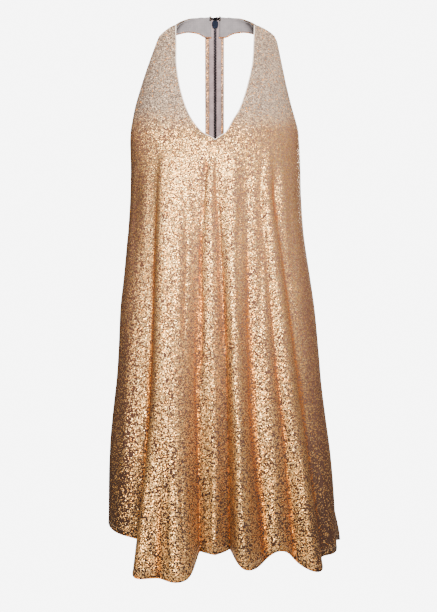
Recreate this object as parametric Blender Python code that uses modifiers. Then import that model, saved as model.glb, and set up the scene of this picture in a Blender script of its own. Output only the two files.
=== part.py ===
"""A short halter evening dress in foil-printed jersey, open at neck, armholes, back and hem.

Metres, +Z up, the front faces -Y. The origin is at the nape, on the inner face of the neckband at
centre back, half way up the band. Tables and sizes are in millimetres, and "down" is the distance
below the nape. "Left" is -X.
"""

import math

import bmesh
import bpy
import numpy as np
from mathutils import Vector

MM = 0.001

# Cloth and seams
JERSEY = 1.5
FACING = 1.0
TAPE = 1.0
SEAM_GAP = 0.3
SEAM_LEAD = 3.0
LAYER_GAP = 0.3

# Levels, as distances below the nape
V_POINT = 217.0
BUST = 312.0
HIP = 600.0
HEM = 870.0

# A point inside the body, in plan, from which the cloth's right side faces away
BODY_AXIS = (0, -60, 0)

# Centre back: the zip, the opening beside its teeth, and the strip of the T-bar
ZIP_TOP = -9.0
ZIP_END = 420.0
ZIP_OPENING = 6.0
SEAM_CLOSES = 30.0
STRIP_LEFT = 17.4
STRIP_RIGHT = 15.3
STRIP_FOOT = 212.0
STRIP_FILLET = 9.0
STRIP_ROWS = 8
BACK_TOP = 254.0
TOP_EDGE_FADES = (252, 370)
KICK_STARTS = 783
BAND_FOOT = 19.0


def table(columns, *rows):
    """A table with named columns, each an array."""
    return dict(zip(columns.split(), np.array(rows, float).T))


# The front, from the shoulder seams to the hem. side: armhole edge, then side seam. neck: V edge, then
# centre line. square: 1 is a straight chord from side to neck, 2 an ellipse, more is fuller.
FRONT_SECTIONS = table(
    "down side_left side_right side_y neck_left neck_right neck_y neck_down square",
    (26, -92, 98.5, -50, -66, 66.5, -50, 8, 1.35),
    (30, -95.5, 101.5, -52, -66.3, 66, -58, 22, 1.35),
    (36, -97.6, 104, -55, -65.3, 65.2, -66, 37, 1.35),
    (70, -108.6, 110.2, -70, -64.8, 63.1, -86, 72, 1.4),
    (112, -121.2, 117.9, -85, -59.1, 54.3, -111, 116, 1.55),
    (153, -132.4, 127.4, -93, -47, 40.8, -136, 159, 1.75),
    (173, -136.2, 133, -95, -37, 29.2, -150, 180, 1.9),
    (193, -139.5, 138, -95, -20.7, 17.9, -163, 201, 2.1),
    (213, -140.4, 139.5, -93, 0, 0, -173, V_POINT, 2.25),
    (252, -139.6, 141.4, -90, -3, -3, -185, 252, 2.4),
    (BUST, -140, 142, -89, -6, -6, -194, BUST, 2.5),
    (370, -145.5, 148, -88, -6, -6, -195, 370, 2.5),
    (431, -151, 157.5, -87, -5, -5, -195, 431, 2.45),
    (491, -157.5, 166, -86, -4, -4, -195, 491, 2.4),
    (551, -160, 171.5, -85, -3, -3, -196, 551, 2.35),
    (610, -163.5, 176.5, -84, -2, -2, -197, 610, 2.3),
    (670, -169.5, 184.5, -83, -1, -1, -199, 670, 2.3),
    (730, -174.5, 192.5, -82, 0, 0, -201, 730, 2.3),
    (790, -176.5, 197.5, -81, 0, 0, -203, 790, 2.3),
    (HEM, -177, 200.5, -80, 0, 0, -206, HEM, 2.3),
)
V_ROW = 8
UNDERARM_ROW = 9
BUST_ROW = 10
HEM_ROW = 19

# How far a fold's flanks move aside, so that its ridge is broad
RIDGE_FULLNESS = 4.0

# Ridges and valleys of the front, from the left side seam to the right one. x: where the fold runs at
# bust, hip and hem. out: how far it stands out of the plain form there. cells: columns to the next fold.
FRONT_FOLDS = table(
    "x_bust x_hip x_hem out_bust out_hip out_hem hem cells",
    (-140, -163, -177, 0, 0, 0, 836, 4),  # left side seam
    (-129, -141, -156, -2, 1, 2, 848, 3),  # left side plane
    (-95, -108, -130, -4, -13, -26, 861, 4),  # valley beside the first fold
    (-84, -91, -114, 6, 10, 30, 911, 4),  # first fold, left ridge
    (-74, -80, -83, 6, 12, 17, 908, 3),  # crease that splits it
    (-62, -67, -58, 4, 11, 30, 913, 3),  # first fold, right ridge
    (-44, -50, -41, 0, 3, 22, 907, 4),  # its steep right edge
    (-19, -29, -28, -5, -15, -29, 871, 3),  # deep valley left of centre
    (-6, -2, 0, 1, -3, -4, 874, 3),  # centre ridge
    (5, 21, 27, -5, -15, -30, 868, 4),  # deep valley right of centre
    (16, 28, 37, -1, 2, 18, 882, 3),  # steep left edge of the second fold
    (28, 36, 49, 3, 11, 29, 894, 4),  # second fold
    (52, 58, 83, -3, -9, -16, 886, 3),  # wide valley
    (64, 87, 105, -1, 3, -1, 867, 3),  # small ridge
    (74, 102, 134, -2, -4, -15, 873, 4),  # valley
    (85, 120, 154, 6, 9, 23, 905, 4),  # third fold
    (97, 139, 178, -5, -8, -8, 886, 3),  # valley beside it
    (119, 162, 194, 2, 2, 4, 884, 3),  # right side plane
    (142, 176.5, 200.5, 0, 0, 0, 870, 0),  # right side seam
)
CENTRE_FOLD = 8

# Ridges and valleys of each back piece, from the strip's edge to the side seam. x is the distance from
# centre back. kick: how far the last stretch above the hem turns out.
BACK_LEFT_FOLDS = table(
    "x_top x_hip x_hem out_top out_hip out_hem kick hem cells",
    (0, 0, 0, 0, 0, 0, 0, 874, 3),  # centre back
    (STRIP_LEFT, 22, 25, 0, 1, 3, 0, 874, 4),  # strip edge
    (40, 50, 51, 2, 9, 24, 0, 884, 4),  # first fold
    (66, 76, 84, -1, -8, -22, 0, 862, 4),  # valley
    (92, 107, 121, 2, 9, 24, 0, 880, 4),  # second fold
    (113, 133, 146, -1, -5, -14, 0, 860, 3),  # valley
    (131, 154, 169, 1, 3, 5, 0, 848, 4),  # left side plane
    (140, 163.5, 177, 0, 0, 0, 0, 839, 0),  # side seam
)
BACK_RIGHT_FOLDS = table(
    "x_top x_hip x_hem out_top out_hip out_hem kick hem cells",
    (0, 0, 0, 0, 0, 0, 0, 874, 3),  # centre back
    (STRIP_RIGHT, 20, 23, 0, 1, 3, 0, 874, 4),  # strip edge
    (37, 44, 56, 2, 8, 21, 0, 881, 4),  # first fold
    (60, 72, 93, -1, -8, -22, 0, 864, 4),  # valley
    (88, 106, 131, 2, 10, 25, 0, 884, 4),  # second fold
    (112, 138, 161, -1, -6, -15, 0, 866, 3),  # valley
    (132, 166, 189, 1, 3, 4, 18, 878, 4),  # turned-out fold beside the seam
    (142, 176.5, 200.5, 0, 0, 0, 0, 870, 0),  # side seam
)

# Centre back, seen from the side: the outer face of strip and back
SPINE = table(
    "down y",
    (-30, 4.1),
    (34, 4.1),
    (60, 6.5),
    (120, 17),
    (200, 30),
    (252, 36),
    (400, 42),
    (600, 48),
    (HEM, 60),
)
BACK_SQUARE = 2.4

# The neckband's two edges, from centre back to the shoulder seam: x over the shoulder seam's x
BAND_UPPER = table("share down", (0, -15.7), (0.3, -15), (0.6, -13), (0.88, -4.6), (1, 8))
BAND_LOWER = table(
    "share down", (0.2, BAND_FOOT), (0.26, 15), (0.36, 11.8), (0.5, 10.5), (0.7, 14.7), (0.9, 23), (1, 26)
)
BAND_SQUARE = 2.4
BAND_CELLS = 12
BAND_CELLS_ACROSS = 5

# Zip slider and pull tab
SLIDER_WIDTH = 10.8
SLIDER_TAPER = 0.78
SLIDER_TOP = 9.2
SLIDER_LENGTH = 12.8
PLATE = 1.0
SLOT = 1.8
WEB = 3.4
CHAIN_WIDTH = 3.4
CHAIN_THICKNESS = 2.6
PULL_Z = 3.0
PULL_AXIS_Y = 4.9
PULL_THICKNESS = 1.2
PULL_LENGTH = 22.0
LUG_WIDTH = 1.6
LUG_THICKNESS = 1.1
LUG_UNDERSIDE = 6.1

LUG_FOOT = (-2.4, 8.6)
LUG_SUNK = 0.2
PULL_BAR = 1.4
PULL_EYE = 2.6
PULL_EYE_LENGTH = 7.2
PULL_HEAD_WIDTH = 5.2
PULL_NECK_WIDTH = 3.8
PULL_FOOT_WIDTH = 6.0
PULL_FOOT_STEPS = 9
PULL_NECK = -9.0
PULL_SHOULDER = -6.0

# Tapes lie between the cloth and the facing; their plane is where the teeth lie
TAPE_PLANE = 1.8
TAPE_INNER = 2.0
TAPE_OUTER = 10.2
FACING_EDGE = 6.8

# Hook and eye, on the facing's inner face above the slider
HOOK_Z = 12.8
WIRE = 0.45
WIRE_TURN = 1.3
WIRE_SEAT = -0.8
WIRE_STEPS = 9
WIRE_RING_X = 8.0
WIRE_SWEEP = 260
HOOK_STARTS = 10
SHANK = 0.7

# The hook from its ring to its tip, and the eye from its ring to its bow: x, the height off the cloth
# and the distance above the fastening's middle
HOOK_BEND = table(
    "x lift rise",
    (-6, 0, SHANK),
    (-2, 0, SHANK),
    (1.6, 0, SHANK),
    (2.3, 0.4, SHANK),
    (2.6, 1.2, SHANK),
    (2.3, 2.0, SHANK),
    (1.6, 2.4, SHANK),
    (-1.5, 2.4, SHANK),
    (-2.4, 2.4, 0.5),
)
EYE_BOW = table("x lift rise", (6.4, 0, SHANK), (4.6, 0.4, 1.6), (3, 1.1, 1.9), (1.7, 1.2, 1.9), (1.2, 1.2, 1.2))


def smooth(where, knots, values):
    """A curve through the values that never swings past them (monotone cubic)."""
    knots = np.asarray(knots, float)
    values = np.asarray(values, float)
    where = np.asarray(where, float)
    step = np.diff(knots)
    slope = np.diff(values) / step
    rising = slope[:-1] * slope[1:] > 0
    inner = np.zeros(len(knots) - 2)
    inner[rising] = 2 / (1 / slope[:-1][rising] + 1 / slope[1:][rising])
    tangent = np.concatenate([slope[:1], inner, slope[-1:]])
    i = np.clip(np.searchsorted(knots, where) - 1, 0, len(step) - 1)
    t = np.clip((where - knots[i]) / step[i], 0, 1)
    rise = (values[i + 1] - values[i]) * t * t * (3 - 2 * t)
    leave = tangent[i] * step[i] * t * (1 - t) ** 2
    arrive = tangent[i + 1] * step[i] * t * t * (1 - t)
    return values[i] + rise + leave - arrive


def ease(t):
    """0 to 1, flat at both ends."""
    t = np.clip(t, 0, 1)
    return t * t * (3 - 2 * t)


def front_section(row):
    """Each column of FRONT_SECTIONS at a row, which may lie between two of the table's."""
    rows = np.arange(len(FRONT_SECTIONS["down"]))
    found = {name: float(smooth(row, rows, values)) for name, values in FRONT_SECTIONS.items()}
    if row >= V_ROW:
        found["neck_left"] = found["neck_right"]
    return found


def quarter(outer, inner, square, turn):
    """Points of a quarter of an oval, from the outer point at turn 0 to the inner one at a right angle."""
    hub = np.array([inner[0], outer[1], outer[2]])
    across = np.cos(turn) ** (2 / square)
    along = np.sin(turn) ** (2 / square)
    return hub + np.outer(across, outer - hub) + np.outer(along, inner - hub)


def outward(outer, inner, square, turn):
    """The direction, in plan, in which a fold stands out of that quarter."""
    power = 2 * (square - 1) / square
    x = np.cos(turn) ** power / (outer[0] - inner[0])
    y = np.sin(turn) ** power / (inner[1] - outer[1])
    length = np.hypot(x, y)
    return np.stack([x / length, y / length, np.zeros_like(x)], axis=1)


def turns(x, outer_x, inner_x, square):
    """The angle at which each x lies on that quarter."""
    share = np.clip((x - inner_x) / (outer_x - inner_x), 0, 1)
    return np.arccos(share ** (square / 2))


def spread(values, cells, finer):
    """Values given at the folds, carried smoothly to every column between them."""
    at = np.concatenate([[0], np.cumsum(cells[:-1])])
    columns = np.arange(at[-1] * finer + 1) / finer
    return smooth(columns, at, values)


def at_level(folds, kind, down):
    """A fold column, such as x or out, at a level between bust and hem."""
    top = "top" if kind + "_top" in folds else "bust"
    levels = np.array([folds[f"{kind}_{level}"] for level in (top, "hip", "hem")])
    return np.array([float(smooth(down, (BUST, HIP, HEM), column)) for column in levels.T])


def full_ridges(points, out, away):
    """Moves a fold's flanks apart along the cloth, so that ridges are broad and round and valleys narrow."""
    step = np.linalg.norm(np.diff(points, axis=0), axis=1)
    along = np.concatenate([[0], np.cumsum(step)])
    slope = np.gradient(out, along)
    slope[0] = slope[-1] = 0
    shift = -RIDGE_FULLNESS * slope / np.sqrt(1 + slope**2)
    tangent = np.gradient(points, along, axis=0)
    return points + tangent * shift[:, None] + away * out[:, None]


def hang(down, hem):
    """How far below the nape a point hangs, once each fold reaches its own hem."""
    return down + (hem - HEM) * (np.clip(down - BUST, 0, None) / (HEM - BUST)) ** 2


def front_row(row, side, finer=1):
    """One row of the front's left (-1) or right (1) half, from its outer edge to neck or centre."""
    now = front_section(row)
    bust = {name: values[BUST_ROW] for name, values in FRONT_SECTIONS.items()}
    half = "left" if side < 0 else "right"
    some = slice(0, CENTRE_FOLD + 1) if side < 0 else slice(CENTRE_FOLD, None)
    folds = {name: values[some] for name, values in FRONT_FOLDS.items()}
    cells = folds["cells"]
    outer = np.array([now[f"side_{half}"], now["side_y"], -now["down"]])
    inner = np.array([now[f"neck_{half}"], now["neck_y"], -now["neck_down"]])
    if row >= UNDERARM_ROW:
        outer[1] -= SEAM_GAP / 2
    down = max(now["down"], BUST)
    x = at_level(folds, "x", down)
    if now["down"] < BUST:
        edge, middle = bust[f"side_{half}"], bust[f"neck_{half}"]
    else:
        edge, middle = outer[0], inner[0]
    x[0], x[-1] = (edge, middle) if side < 0 else (middle, edge)
    turn = turns(x, edge, middle, now["square"])
    out = at_level(folds, "out", down) * ease((now["down"] - V_POINT) / (BUST - V_POINT))
    if side > 0:
        turn, out = turn[::-1], out[::-1]
        cells = np.append(cells[:-1][::-1], 0)
    turn = np.clip(spread(turn, cells, finer), 0, math.pi / 2)
    points = quarter(outer, inner, now["square"], turn)
    if now["down"] > V_POINT:
        points = full_ridges(points, spread(out, cells, finer), outward(outer, inner, now["square"], turn))
    hem = folds["hem"] if side < 0 else folds["hem"][::-1]
    if now["down"] > BUST:
        points[:, 2] = -hang(now["down"], spread(hem, cells, finer))
    return points


def front_rows():
    """The rows at which the front is lofted: closest together where its edges curve."""
    return np.concatenate([[0, 1], np.arange(2, UNDERARM_ROW, 0.5), np.arange(UNDERARM_ROW, HEM_ROW + 1)])


def back_row(row, side, finer=1):
    """One row of a back piece below its top edge, from centre back to the side seam."""
    now = front_section(row)
    half = "left" if side < 0 else "right"
    folds = BACK_LEFT_FOLDS if side < 0 else BACK_RIGHT_FOLDS
    strip = STRIP_LEFT if side < 0 else STRIP_RIGHT
    nominal = now["down"]
    edge = abs(now[f"side_{half}"])
    x = at_level(folds, "x", max(nominal, BUST))
    if nominal < BUST:
        x[1:-1] += (edge - x[-1]) * x[1:-1] / x[-1]
        x[-1] = edge
    x[0], x[1], x[-1] = 0, max(x[1], strip), edge
    out = at_level(folds, "out", max(nominal, BUST)) * ease((nominal - STRIP_FOOT) / (BUST - STRIP_FOOT))
    out += folds["kick"] * ease((nominal - KICK_STARTS) / (HEM - KICK_STARTS))
    cells = np.append(folds["cells"][:-1][::-1], 0)
    turn = spread(turns(x, edge, 0, BACK_SQUARE)[::-1], cells, finer)[::-1]
    turn = np.clip(turn, 0, math.pi / 2)
    hem = spread(folds["hem"][::-1], cells, finer)[::-1]
    out = spread(out[::-1], cells, finer)[::-1]
    across = edge * np.cos(turn) ** (2 / BACK_SQUARE)
    down = hang(nominal, hem)
    top = BACK_TOP - (BACK_TOP - STRIP_FOOT) * np.exp(-np.clip(across - strip, 0, None) / STRIP_FILLET)
    first, last = TOP_EDGE_FADES
    down += (top - nominal) * (1 - ease((nominal - first) / (last - first)))
    middle = smooth(down, SPINE["down"], SPINE["y"])
    side_y = now["side_y"] + SEAM_GAP / 2
    outer = np.array([edge, 0.0, 0.0])
    inner = np.array([0.0, 1.0, 0.0])
    plan = quarter(outer, inner, BACK_SQUARE, turn)
    away = outward(np.array([edge, side_y, 0]), np.array([0, SPINE["y"][-1], 0]), BACK_SQUARE, turn)
    points = np.stack([across, side_y + (middle - side_y) * plan[:, 1], -down], axis=1)
    points = full_ridges(points, out, away)
    points[:, 0] *= side
    return points


def zip_edge(down):
    """Distance of the cloth's edge from centre back: beside the teeth, then closing to the seam."""
    closed = ease((down - ZIP_END) / SEAM_CLOSES)
    return ZIP_OPENING + (SEAM_GAP / 2 - ZIP_OPENING) * closed


def part_at_centre(points, side):
    """Moves a back row's first columns aside, so that the cloth stops at the zip or at the seam."""
    edge = zip_edge(-points[:, 2])
    strip = STRIP_LEFT if side < 0 else STRIP_RIGHT
    x = np.abs(points[:, 0])
    near = x < strip
    points[near, 0] = side * (edge[near] + x[near] * (strip - edge[near]) / strip)
    return points


def back_grid(side, finer=1):
    """A back piece: its strip above, open beside it, and the body below. Empty places hold no number."""
    below = np.append(UNDERARM_ROW, np.arange(UNDERARM_ROW + 0.5, BUST_ROW, 0.5))
    below = np.append(below, np.arange(BUST_ROW, HEM_ROW + 1))
    body = [part_at_centre(back_row(row, side, finer), side) for row in below]
    folds = BACK_LEFT_FOLDS if side < 0 else BACK_RIGHT_FOLDS
    wide = int(folds["cells"][0]) * finer + 1
    levels = np.linspace(BAND_FOOT + SEAM_GAP, STRIP_FOOT, STRIP_ROWS * finer, endpoint=False)
    strip = []
    for down in levels:
        points = np.full_like(body[0], np.nan)
        points[:wide, 0] = body[0][:wide, 0]
        points[:wide, 1] = smooth(down, SPINE["down"], SPINE["y"])
        points[:wide, 2] = -down
        strip.append(points)
    return np.array(strip + body)


def band_edges(side, end=ZIP_OPENING, finer=1):
    """The neckband's lower and upper edge, each a line of points from the shoulder seam to the zip."""
    half = "left" if side < 0 else "right"
    start = front_section(0)
    edges = []
    for name, edge in (("side", BAND_LOWER), ("neck", BAND_UPPER)):
        reach = abs(start[f"{name}_{half}"])
        last = turns(np.array([end]), reach, 0, BAND_SQUARE)[0]
        turn = np.linspace(0, last, BAND_CELLS * finer + 1)
        x = reach * np.cos(turn) ** (2 / BAND_SQUARE)
        y = start[f"{name}_y"] + (SPINE["y"][0] - start[f"{name}_y"]) * np.sin(turn) ** (2 / BAND_SQUARE)
        down = smooth(x / reach, edge["share"], edge["down"])
        edges.append(np.stack([side * x, y, -down], axis=1))
    return edges


def unit(vector):
    return vector / np.linalg.norm(vector, axis=-1, keepdims=True)


def over_shoulder(side, seam):
    """The direction in which the cloth runs over the shoulder seam, at each point of the seam."""
    before = front_row(0.5, side)
    lower, upper = band_edges(side)
    outer = unit(lower[1] - before[0])
    inner = unit(upper[1] - before[-1])
    share = np.linalg.norm(seam - seam[0], axis=1) / np.linalg.norm(seam[-1] - seam[0])
    return unit(outer + (inner - outer) * share[:, None])


def front_grid(side, finer=1):
    """Half of the front, row by row from the shoulder seam to the hem."""
    grid = [front_row(row, side, finer) for row in front_rows()]
    run = over_shoulder(side, grid[0])
    return np.array([grid[0] - run * SEAM_GAP / 2, grid[0] - run * SEAM_LEAD] + grid[1:])


def band_grid(side, end=ZIP_OPENING, finer=1):
    """Half of the neckband's outer face, from the shoulder seam to the zip."""
    turn = np.linspace(0, math.pi / 2, BAND_CELLS_ACROSS * finer + 1)
    square = front_section(0)["square"]
    grid = [quarter(lower, upper, square, turn) for lower, upper in zip(*band_edges(side, end, finer))]
    run = over_shoulder(side, grid[0])
    return np.array([grid[0] + run * SEAM_GAP / 2, grid[0] + run * SEAM_LEAD] + grid[1:])


def facing_out(grid):
    """The direction that points away from the body at each point of a grid."""
    along = np.gradient(grid, axis=0)
    across = np.gradient(grid, axis=1)
    normal = np.cross(along, across)
    normal /= np.linalg.norm(normal, axis=2, keepdims=True)
    away = grid[..., :2] - BODY_AXIS[:2]
    return normal * np.sign(np.sum(normal[..., :2] * away))


def under(grid, depth):
    """A layer that lies at a depth under a panel's outer face: the panel's own points, moved in."""
    return grid - facing_out(grid) * depth


def spine_grid(low, high, left, right):
    """A strip along centre back from x left to x right, on the back panels' own rows."""
    panel = back_grid(-1)[:, 0]
    levels = -panel[:, 2]
    between = levels[(levels > low) & (levels < high)]
    down = np.concatenate([[low], between, [high]])
    y = np.interp(down, levels, panel[:, 1])
    x = np.array([left, right])
    return np.array([np.stack([x, [deep] * 2, [-level] * 2], axis=1) for level, deep in zip(down, y)])


def material(name, colour, roughness, metallic):
    made = bpy.data.materials.new(name)
    made.use_nodes = True
    shader = made.node_tree.nodes["Principled BSDF"]
    shader.inputs["Base Color"].default_value = (*colour, 1)
    shader.inputs["Roughness"].default_value = roughness
    shader.inputs["Metallic"].default_value = metallic
    return made


def keep(obj, look):
    """Puts a finished piece in the dress's collection, with its material."""
    for old in obj.users_collection:
        old.objects.unlink(obj)
    dress.objects.link(obj)
    obj.data.materials.clear()
    obj.data.materials.append(look)
    return obj


def cloth(name, grids, thickness, look):
    """Lofts one open surface through each grid's rows, welds their shared edge and gives it a wall."""
    mesh = bmesh.new()
    axis = Vector(BODY_AXIS) * MM
    for grid in grids:
        corners = {}
        for place in np.ndindex(grid.shape[:2]):
            if not np.isnan(grid[place][0]):
                corners[place] = mesh.verts.new(grid[place] * MM)
        faces = []
        for i, j in np.ndindex(grid.shape[0] - 1, grid.shape[1] - 1):
            ring = [(i, j), (i + 1, j), (i + 1, j + 1), (i, j + 1)]
            if all(place in corners for place in ring):
                faces.append(mesh.faces.new([corners[place] for place in ring]))
        mesh.normal_update()
        out = sum(face.normal.xy.dot((face.calc_center_median() - axis).xy) * face.calc_area() for face in faces)
        if out < 0:
            bmesh.ops.reverse_faces(mesh, faces=faces)
    bmesh.ops.remove_doubles(mesh, verts=mesh.verts, dist=0.01 * MM)
    data = bpy.data.meshes.new(name)
    mesh.to_mesh(data)
    mesh.free()
    data.shade_smooth()
    obj = bpy.data.objects.new(name, data)
    bpy.context.scene.collection.objects.link(obj)
    wall = obj.modifiers.new("wall", "SOLIDIFY")
    wall.thickness = thickness * MM
    wall.offset = -1
    return keep(obj, look)


def prism(name, outline, low, high, place):
    """A flat outline of (a, b) pairs pushed from low to high. place turns a, b and the push into x, y, z."""
    mesh = bmesh.new()
    ring = [mesh.verts.new(Vector(place(a, b, low)) * MM) for a, b in outline]
    face = mesh.faces.new(ring)
    pushed = bmesh.ops.extrude_face_region(mesh, geom=[face])
    far = [item for item in pushed["geom"] if isinstance(item, bmesh.types.BMVert)]
    travel = Vector(place(0, 0, high)) - Vector(place(0, 0, low))
    bmesh.ops.translate(mesh, verts=far, vec=travel * MM)
    bmesh.ops.recalc_face_normals(mesh, faces=mesh.faces)
    data = bpy.data.meshes.new(name)
    mesh.to_mesh(data)
    mesh.free()
    obj = bpy.data.objects.new(name, data)
    bpy.context.scene.collection.objects.link(obj)
    return obj


def slider(look):
    """The zip's slider: two plates joined by a web, with a lug outside that holds the pull tab."""
    half = SLIDER_WIDTH / 2
    web = WEB / 2
    inner = TAPE_PLANE - SLOT / 2
    outer = TAPE_PLANE + SLOT / 2
    right = [(web, outer), (half, outer), (half, outer + PLATE)]
    right_back = [(half, inner - PLATE), (half, inner), (web, inner)]
    left = [(-x, y) for x, y in reversed(right)]
    left_back = [(-x, y) for x, y in reversed(right_back)]
    outline = right + left + left_back + right_back
    foot = SLIDER_TOP - SLIDER_LENGTH
    body = prism("zip_slider", outline, foot, SLIDER_TOP, lambda x, y, z: (x, y, z))
    for corner in body.data.vertices:
        if corner.co.z < 0:
            corner.co.x *= SLIDER_TAPER if abs(corner.co.x) > WEB * MM else 1
    plate = outer + PLATE
    rise = LUG_UNDERSIDE + LUG_THICKNESS
    low, high = LUG_FOOT
    arch = [
        (plate - LUG_SUNK, low),
        (rise, low),
        (rise, high),
        (plate - LUG_SUNK, high),
        (plate - LUG_SUNK, high - LUG_THICKNESS),
        (LUG_UNDERSIDE, high - LUG_THICKNESS),
        (LUG_UNDERSIDE, low + LUG_THICKNESS),
        (plate - LUG_SUNK, low + LUG_THICKNESS),
    ]
    lug = prism("lug", arch, -LUG_WIDTH / 2, LUG_WIDTH / 2, lambda y, z, x: (x, y, z))
    lug.hide_render = True
    lug.display_type = "WIRE"
    join = body.modifiers.new("lug", "BOOLEAN")
    join.operation = "UNION"
    join.object = lug
    for old in lug.users_collection:
        old.objects.unlink(lug)
    helpers.objects.link(lug)
    return keep(body, look)


def pull_tab(look):
    """The pull tab, a flat plate with an eye round the lug. Its origin is on the hinge's axis."""
    outline = bpy.data.curves.new("zip_pull", "CURVE")
    outline.dimensions = "2D"
    outline.fill_mode = "BOTH"
    outline.extrude = PULL_THICKNESS / 2 * MM
    half_bar = PULL_BAR / 2
    foot = half_bar - PULL_LENGTH
    round_end = [
        (PULL_FOOT_WIDTH / 2 * math.cos(turn), foot + PULL_FOOT_WIDTH / 2 * (1 - math.sin(turn)))
        for turn in np.linspace(0, math.pi, PULL_FOOT_STEPS)
    ]
    neck = PULL_NECK_WIDTH / 2
    head = PULL_HEAD_WIDTH / 2
    edge = [(-neck, PULL_NECK), (-head, PULL_SHOULDER), (-head, half_bar)]
    edge += [(-x, y) for x, y in reversed(edge)]
    eye = [
        (-PULL_EYE / 2, -half_bar),
        (PULL_EYE / 2, -half_bar),
        (PULL_EYE / 2, -PULL_EYE_LENGTH),
        (-PULL_EYE / 2, -PULL_EYE_LENGTH),
    ]
    for points in (round_end + edge, eye):
        line = outline.splines.new("POLY")
        line.points.add(len(points) - 1)
        line.use_cyclic_u = True
        for point, (x, y) in zip(line.points, points):
            point.co = (x * MM, y * MM, 0, 1)
    tab = bpy.data.objects.new("zip_pull", outline)
    tab.rotation_euler = (math.pi / 2, 0, 0)
    tab.location = Vector((0, PULL_AXIS_Y, PULL_Z)) * MM
    bpy.context.scene.collection.objects.link(tab)
    return keep(tab, look)


def ring(x, z, start, sweep, steps=WIRE_STEPS):
    """Points of an open wire ring, where the wire is sewn on."""
    angles = np.radians(np.linspace(start, start + sweep, steps))
    return [(x + WIRE_TURN * math.cos(a), WIRE_SEAT, z + WIRE_TURN * math.sin(a)) for a in angles]


def wire(name, upper, look):
    """A wire fastening whose lower half mirrors the upper one about its own middle height."""
    points = upper + [(x, y, 2 * HOOK_Z - z) for x, y, z in reversed(upper)]
    line = bpy.data.curves.new(name, "CURVE")
    line.dimensions = "3D"
    line.bevel_depth = WIRE * MM
    line.bevel_resolution = 1
    line.use_fill_caps = True
    spline = line.splines.new("POLY")
    spline.points.add(len(points) - 1)
    for point, place in zip(spline.points, points):
        point.co = (*(Vector(place) * MM), 1)
    obj = bpy.data.objects.new(name, line)
    bpy.context.scene.collection.objects.link(obj)
    return keep(obj, look)


def bend(path):
    """The points of a wire's path over the cloth."""
    return [(x, WIRE_SEAT - lift, HOOK_Z + rise) for x, lift, rise in zip(path["x"], path["lift"], path["rise"])]


def hook_and_eye(look):
    """The fastening above the slider: the hook's bend holds the eye's bow across the opening."""
    z = HOOK_Z + SHANK + WIRE_TURN
    wire("hook", ring(-WIRE_RING_X, z, HOOK_STARTS, WIRE_SWEEP) + bend(HOOK_BEND), look)
    wire("eye", ring(WIRE_RING_X, z, 180 - HOOK_STARTS, -WIRE_SWEEP) + bend(EYE_BOW), look)


def clear_scene():
    for obj in list(bpy.data.objects):
        bpy.data.objects.remove(obj, do_unlink=True)


def collection(name):
    made = bpy.data.collections.new(name)
    bpy.context.scene.collection.children.link(made)
    return made


clear_scene()
dress = collection("halter_dress")
helpers = collection("helpers")

gold = material("foil_jersey", (0.66, 0.47, 0.31), 0.45, 0.4)
gold_back = material("foil_jersey_back", (0.60, 0.42, 0.28), 0.45, 0.4)
grey = material("facing_cloth", (0.47, 0.42, 0.44), 0.8, 0)
mauve = material("zip_tape_cloth", (0.50, 0.38, 0.37), 0.8, 0)
steel = material("dark_metal", (0.06, 0.06, 0.09), 0.35, 0.9)

cloth("front", [front_grid(-1), front_grid(1)], JERSEY, gold)
for side, name in ((-1, "left"), (1, "right")):
    cloth(f"back_{name}", [back_grid(side)], JERSEY, gold_back)
    cloth(f"neckband_{name}", [band_grid(side)], JERSEY, gold)
    facing = under(band_grid(side, FACING_EDGE), JERSEY + TAPE + 2 * LAYER_GAP)
    cloth(f"band_facing_{name}", [facing], FACING, grey)
    edges = sorted((side * TAPE_INNER, side * TAPE_OUTER))
    tape = under(spine_grid(ZIP_TOP, ZIP_END, *edges), JERSEY + LAYER_GAP)
    cloth(f"zip_tape_{name}", [tape], TAPE, mauve)

teeth_depth = JERSEY + LAYER_GAP + TAPE / 2 - CHAIN_THICKNESS / 2
chain_top = SLIDER_LENGTH - SLIDER_TOP + SEAM_GAP
chain = under(spine_grid(chain_top, ZIP_END, -CHAIN_WIDTH / 2, CHAIN_WIDTH / 2), teeth_depth)
cloth("zip_chain", [chain], CHAIN_THICKNESS, steel)
slider(steel)
pull_tab(steel)
hook_and_eye(steel)
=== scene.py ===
# %% [markdown]
# # A halter evening dress in foil-printed jersey
#
# The dress is a swing cut: one wide front, two wide backs joined to a T-bar, and a short neckband that
# carries it all. Nothing holds the skirt out, so its folds are the whole design. This notebook gives
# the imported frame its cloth, zip and fastenings, one step at a time.
#
# All sizes are real. Tables are in millimetres and say how far "down" a row lies below the nape.

# %% Frame and tools
import math

import bmesh
import bpy
import numpy as np
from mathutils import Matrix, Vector, noise


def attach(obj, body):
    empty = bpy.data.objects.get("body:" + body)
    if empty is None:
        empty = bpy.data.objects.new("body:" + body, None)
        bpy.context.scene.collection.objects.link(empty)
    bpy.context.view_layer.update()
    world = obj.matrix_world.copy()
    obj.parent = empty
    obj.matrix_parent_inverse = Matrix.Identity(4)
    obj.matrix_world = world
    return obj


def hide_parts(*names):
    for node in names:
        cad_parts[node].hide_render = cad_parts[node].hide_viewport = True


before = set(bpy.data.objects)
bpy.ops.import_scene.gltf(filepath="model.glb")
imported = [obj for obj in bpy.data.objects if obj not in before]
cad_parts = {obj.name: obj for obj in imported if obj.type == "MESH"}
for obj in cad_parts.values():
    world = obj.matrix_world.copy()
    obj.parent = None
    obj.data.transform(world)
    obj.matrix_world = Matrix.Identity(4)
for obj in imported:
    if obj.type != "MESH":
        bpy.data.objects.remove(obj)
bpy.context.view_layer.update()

MM = 0.001
HALVES = ((-1, "left"), (1, "right"))
print("nodes:", ", ".join(sorted(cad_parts)))


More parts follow.
